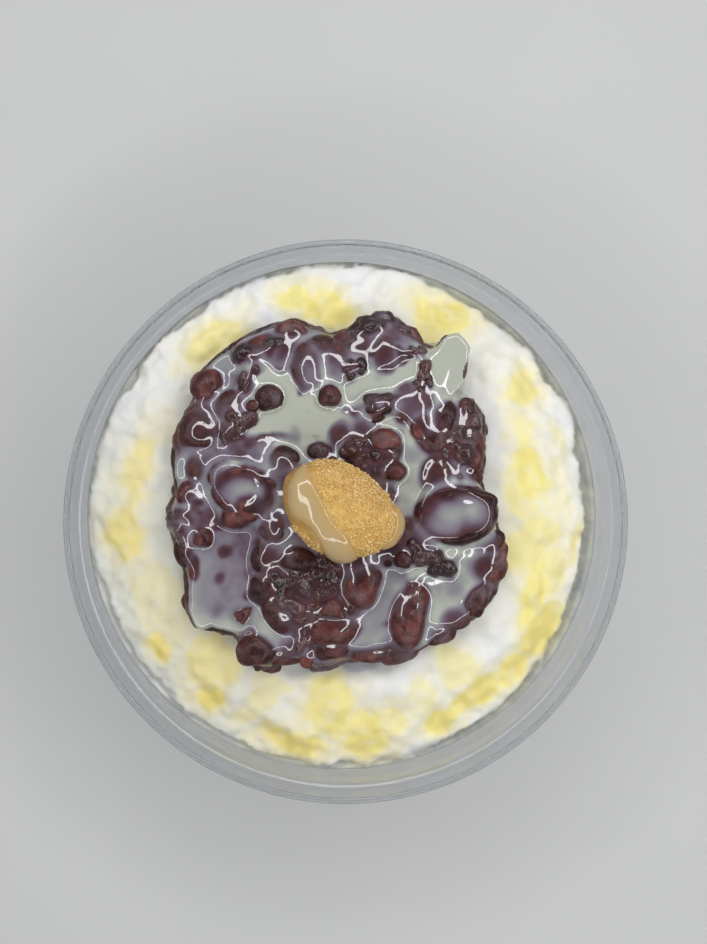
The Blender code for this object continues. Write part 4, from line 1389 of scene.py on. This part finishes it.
bare_points, bare_normals = positions(cake), normals(cake)
runs = []
FAR_OUTSIDE = -99.0
covered = np.full(len(bare_points), FAR_OUTSIDE)
for name, outline, thick in (("milk_run_left", LEFT_RUN, 0.65), ("milk_run_right", RIGHT_RUN, 0.75)):
    run = cake_copy(name)
    wander = 0.25 * rough(bare_points, 3 * MM, 2, 72.0)
    inner = inside_distance(bare_points[:, 0], bare_points[:, 1], outline) + wander
    above_foot = ease(0.0, 3.5 * MM, bare_points[:, 2] - CAKE_BASE_Z)
    edge = np.clip(inner / 1.7, 0.0, 1.0)
    # In mm: out to a rounded edge within the outline, and under the cake's skin outside it and at the foot.
    swell = thick * np.sqrt(1 - (1 - edge) ** 2) * above_foot
    swell -= 0.5 * np.clip(-inner / 1.2, 0, 1)
    swell -= 0.4 * (1 - above_foot)
    swell -= 0.05 + 0.1 * (edge == 0)
    move_to(run, bare_points + bare_normals * (swell * MM)[:, None])
    store(run, "edge", edge)
    smooth_shade(run)
    runs.append(run)
    covered = np.maximum(covered, np.where(above_foot > 0.3, inner, FAR_OUTSIDE))
print("points of the cake under milk:", int((covered > 0).sum()))

# %% [markdown]
# The powder: the skin gets a sandy relief wherever no milk lies, and thousands of small chips stick to
# it, so that the cake's outline is crumbly too.

# %% Powder
powdery = ease(0.5, -0.5, covered)
sand = 0.16 * MM * rough(bare_points, 0.9 * MM, 3, 73.0) + 0.22 * MM * rough(bare_points, 2.4 * MM, 2, 74.0)
move_to(cake, bare_points + bare_normals * (sand * powdery)[:, None])
store(cake, "powdery", powdery)
wetness = ease(-2.4, -0.6, covered) * ease(CAKE_X - 4 * MM, CAKE_X - 9 * MM, bare_points[:, 0])
store(cake, "wet", wetness)
back_edge = (bare_points[:, 0] - CAKE_X) * 0.55 + (bare_points[:, 1] - CAKE_Y) * 0.83
store(cake, "dry", ease(2.5 * MM, 8 * MM, back_edge + 1.5 * MM * rough(bare_points, 4 * MM, 2, 75.0)))
smooth_shade(cake)
bpy.ops.mesh.primitive_ico_sphere_add(subdivisions=1, radius=1.0, location=(0, 0, 0))
chip = start_piece("powder_chip")
CHIP_COUNT = 5200
grain_dice = random.Random(5)
skin_points, skin_normals = positions(cake), normals(cake)
candidates = [i for i in range(len(skin_points))
              if powdery[i] > 0.9 and wetness[i] < 0.3 and skin_points[i, 2] > CAKE_BASE_Z + 1 * MM]
spread = np.array([np.hypot(*(skin_points[i, :2] - (CAKE_X, CAKE_Y))) for i in candidates])
picked = grain_dice.choices(candidates, weights=list(spread), k=CHIP_COUNT)
chip_places = []
for index in picked:
    size = grain_dice.uniform(0.10, 0.24) * MM
    half = (size * grain_dice.uniform(0.8, 1.4), size, size * grain_dice.uniform(0.6, 1.0))
    jitter = Vector([grain_dice.uniform(-0.25, 0.25) * MM for _ in range(3)])
    place = Vector(skin_points[index]) + jitter + Vector(skin_normals[index]) * size * 0.4
    tilt = (grain_dice.uniform(0, 3), grain_dice.uniform(0, 3))
    chip_places.append((chip, placed(*place, half, grain_dice.uniform(0, 6.3), tilt)))
chips = joined_copies("powder_chips", chip_places)
remove(chip)
only(chips)
bpy.ops.object.shade_flat()
print("powder:", len(chip_places), "chips,", triangles(chips), "triangles")

# %% [markdown]
# Roasted bean powder is golden and sandy, darker where milk has wetted it and paler at the dry back. The
# chips differ in tone from copy to copy, and the cake's warm colour shows through the milk on it.

# %% Finishes of the cake
cake_finish, cake_shader = new_finish(
    "cake_powder", Roughness=0.75, Subsurface_Weight=0.1, Subsurface_Scale=0.002)
golden = ramp(cake_finish, noise_pattern(cake_finish, 3.0 * MM, 5.0), [
    (0.3, (0.62, 0.365, 0.085)), (0.7, (0.79, 0.52, 0.16))])
tan = ramp(cake_finish, noise_pattern(cake_finish, 1.5 * MM, 5.0), [
    (0.3, (0.62, 0.355, 0.13)), (0.7, (0.79, 0.50, 0.225))])
cake_tone = blend_colors(cake_finish, attribute(cake_finish, "dry"), golden, tan)
wet_tone = blend_colors(cake_finish, attribute(cake_finish, "wet"), cake_tone, (0.52, 0.28, 0.06))
dusted = blend_colors(cake_finish, attribute(cake_finish, "powdery"), (0.60, 0.44, 0.24), wet_tone)
link(cake_finish, dusted, cake_shader.inputs["Base Color"])
wet_roughness = remap(cake_finish, attribute(cake_finish, "wet"), 0.0, 1.0, 0.75, 0.25)
link(cake_finish, wet_roughness, cake_shader.inputs["Roughness"])
add_bump(cake_finish, cake_shader, noise_pattern(cake_finish, 0.5 * MM, 3.0), 0.2 * MM, 0.8)
chip_finish, chip_shader = new_finish("powder_chips", Roughness=0.6)
chip_tone = ramp(chip_finish, attribute(chip_finish, "copy"), [
    (0.0, (0.66, 0.39, 0.11)), (0.5, (0.80, 0.53, 0.17)), (0.75, (0.90, 0.68, 0.28)),
    (1.0, (0.95, 0.84, 0.50))])
link(chip_finish, chip_tone, chip_shader.inputs["Base Color"])
run_finish, run_shader = new_finish(
    "milk_on_cake", Roughness=0.07, IOR=1.6, Subsurface_Weight=0.2, Subsurface_Scale=0.002)
run_tone = ramp(run_finish, attribute(run_finish, "edge"), [
    (0.0, (0.56, 0.345, 0.11)), (1.0, (0.55, 0.40, 0.195))])
link(run_finish, run_tone, run_shader.inputs["Base Color"])
for piece, finish in ((cake, cake_finish), (chips, chip_finish),
                      (runs[0], run_finish), (runs[1], run_finish)):
    dress(piece, finish)
    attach(piece, "root")
    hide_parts("rice_cake")
print("cake finishes:", cake_finish.name, chip_finish.name, run_finish.name)
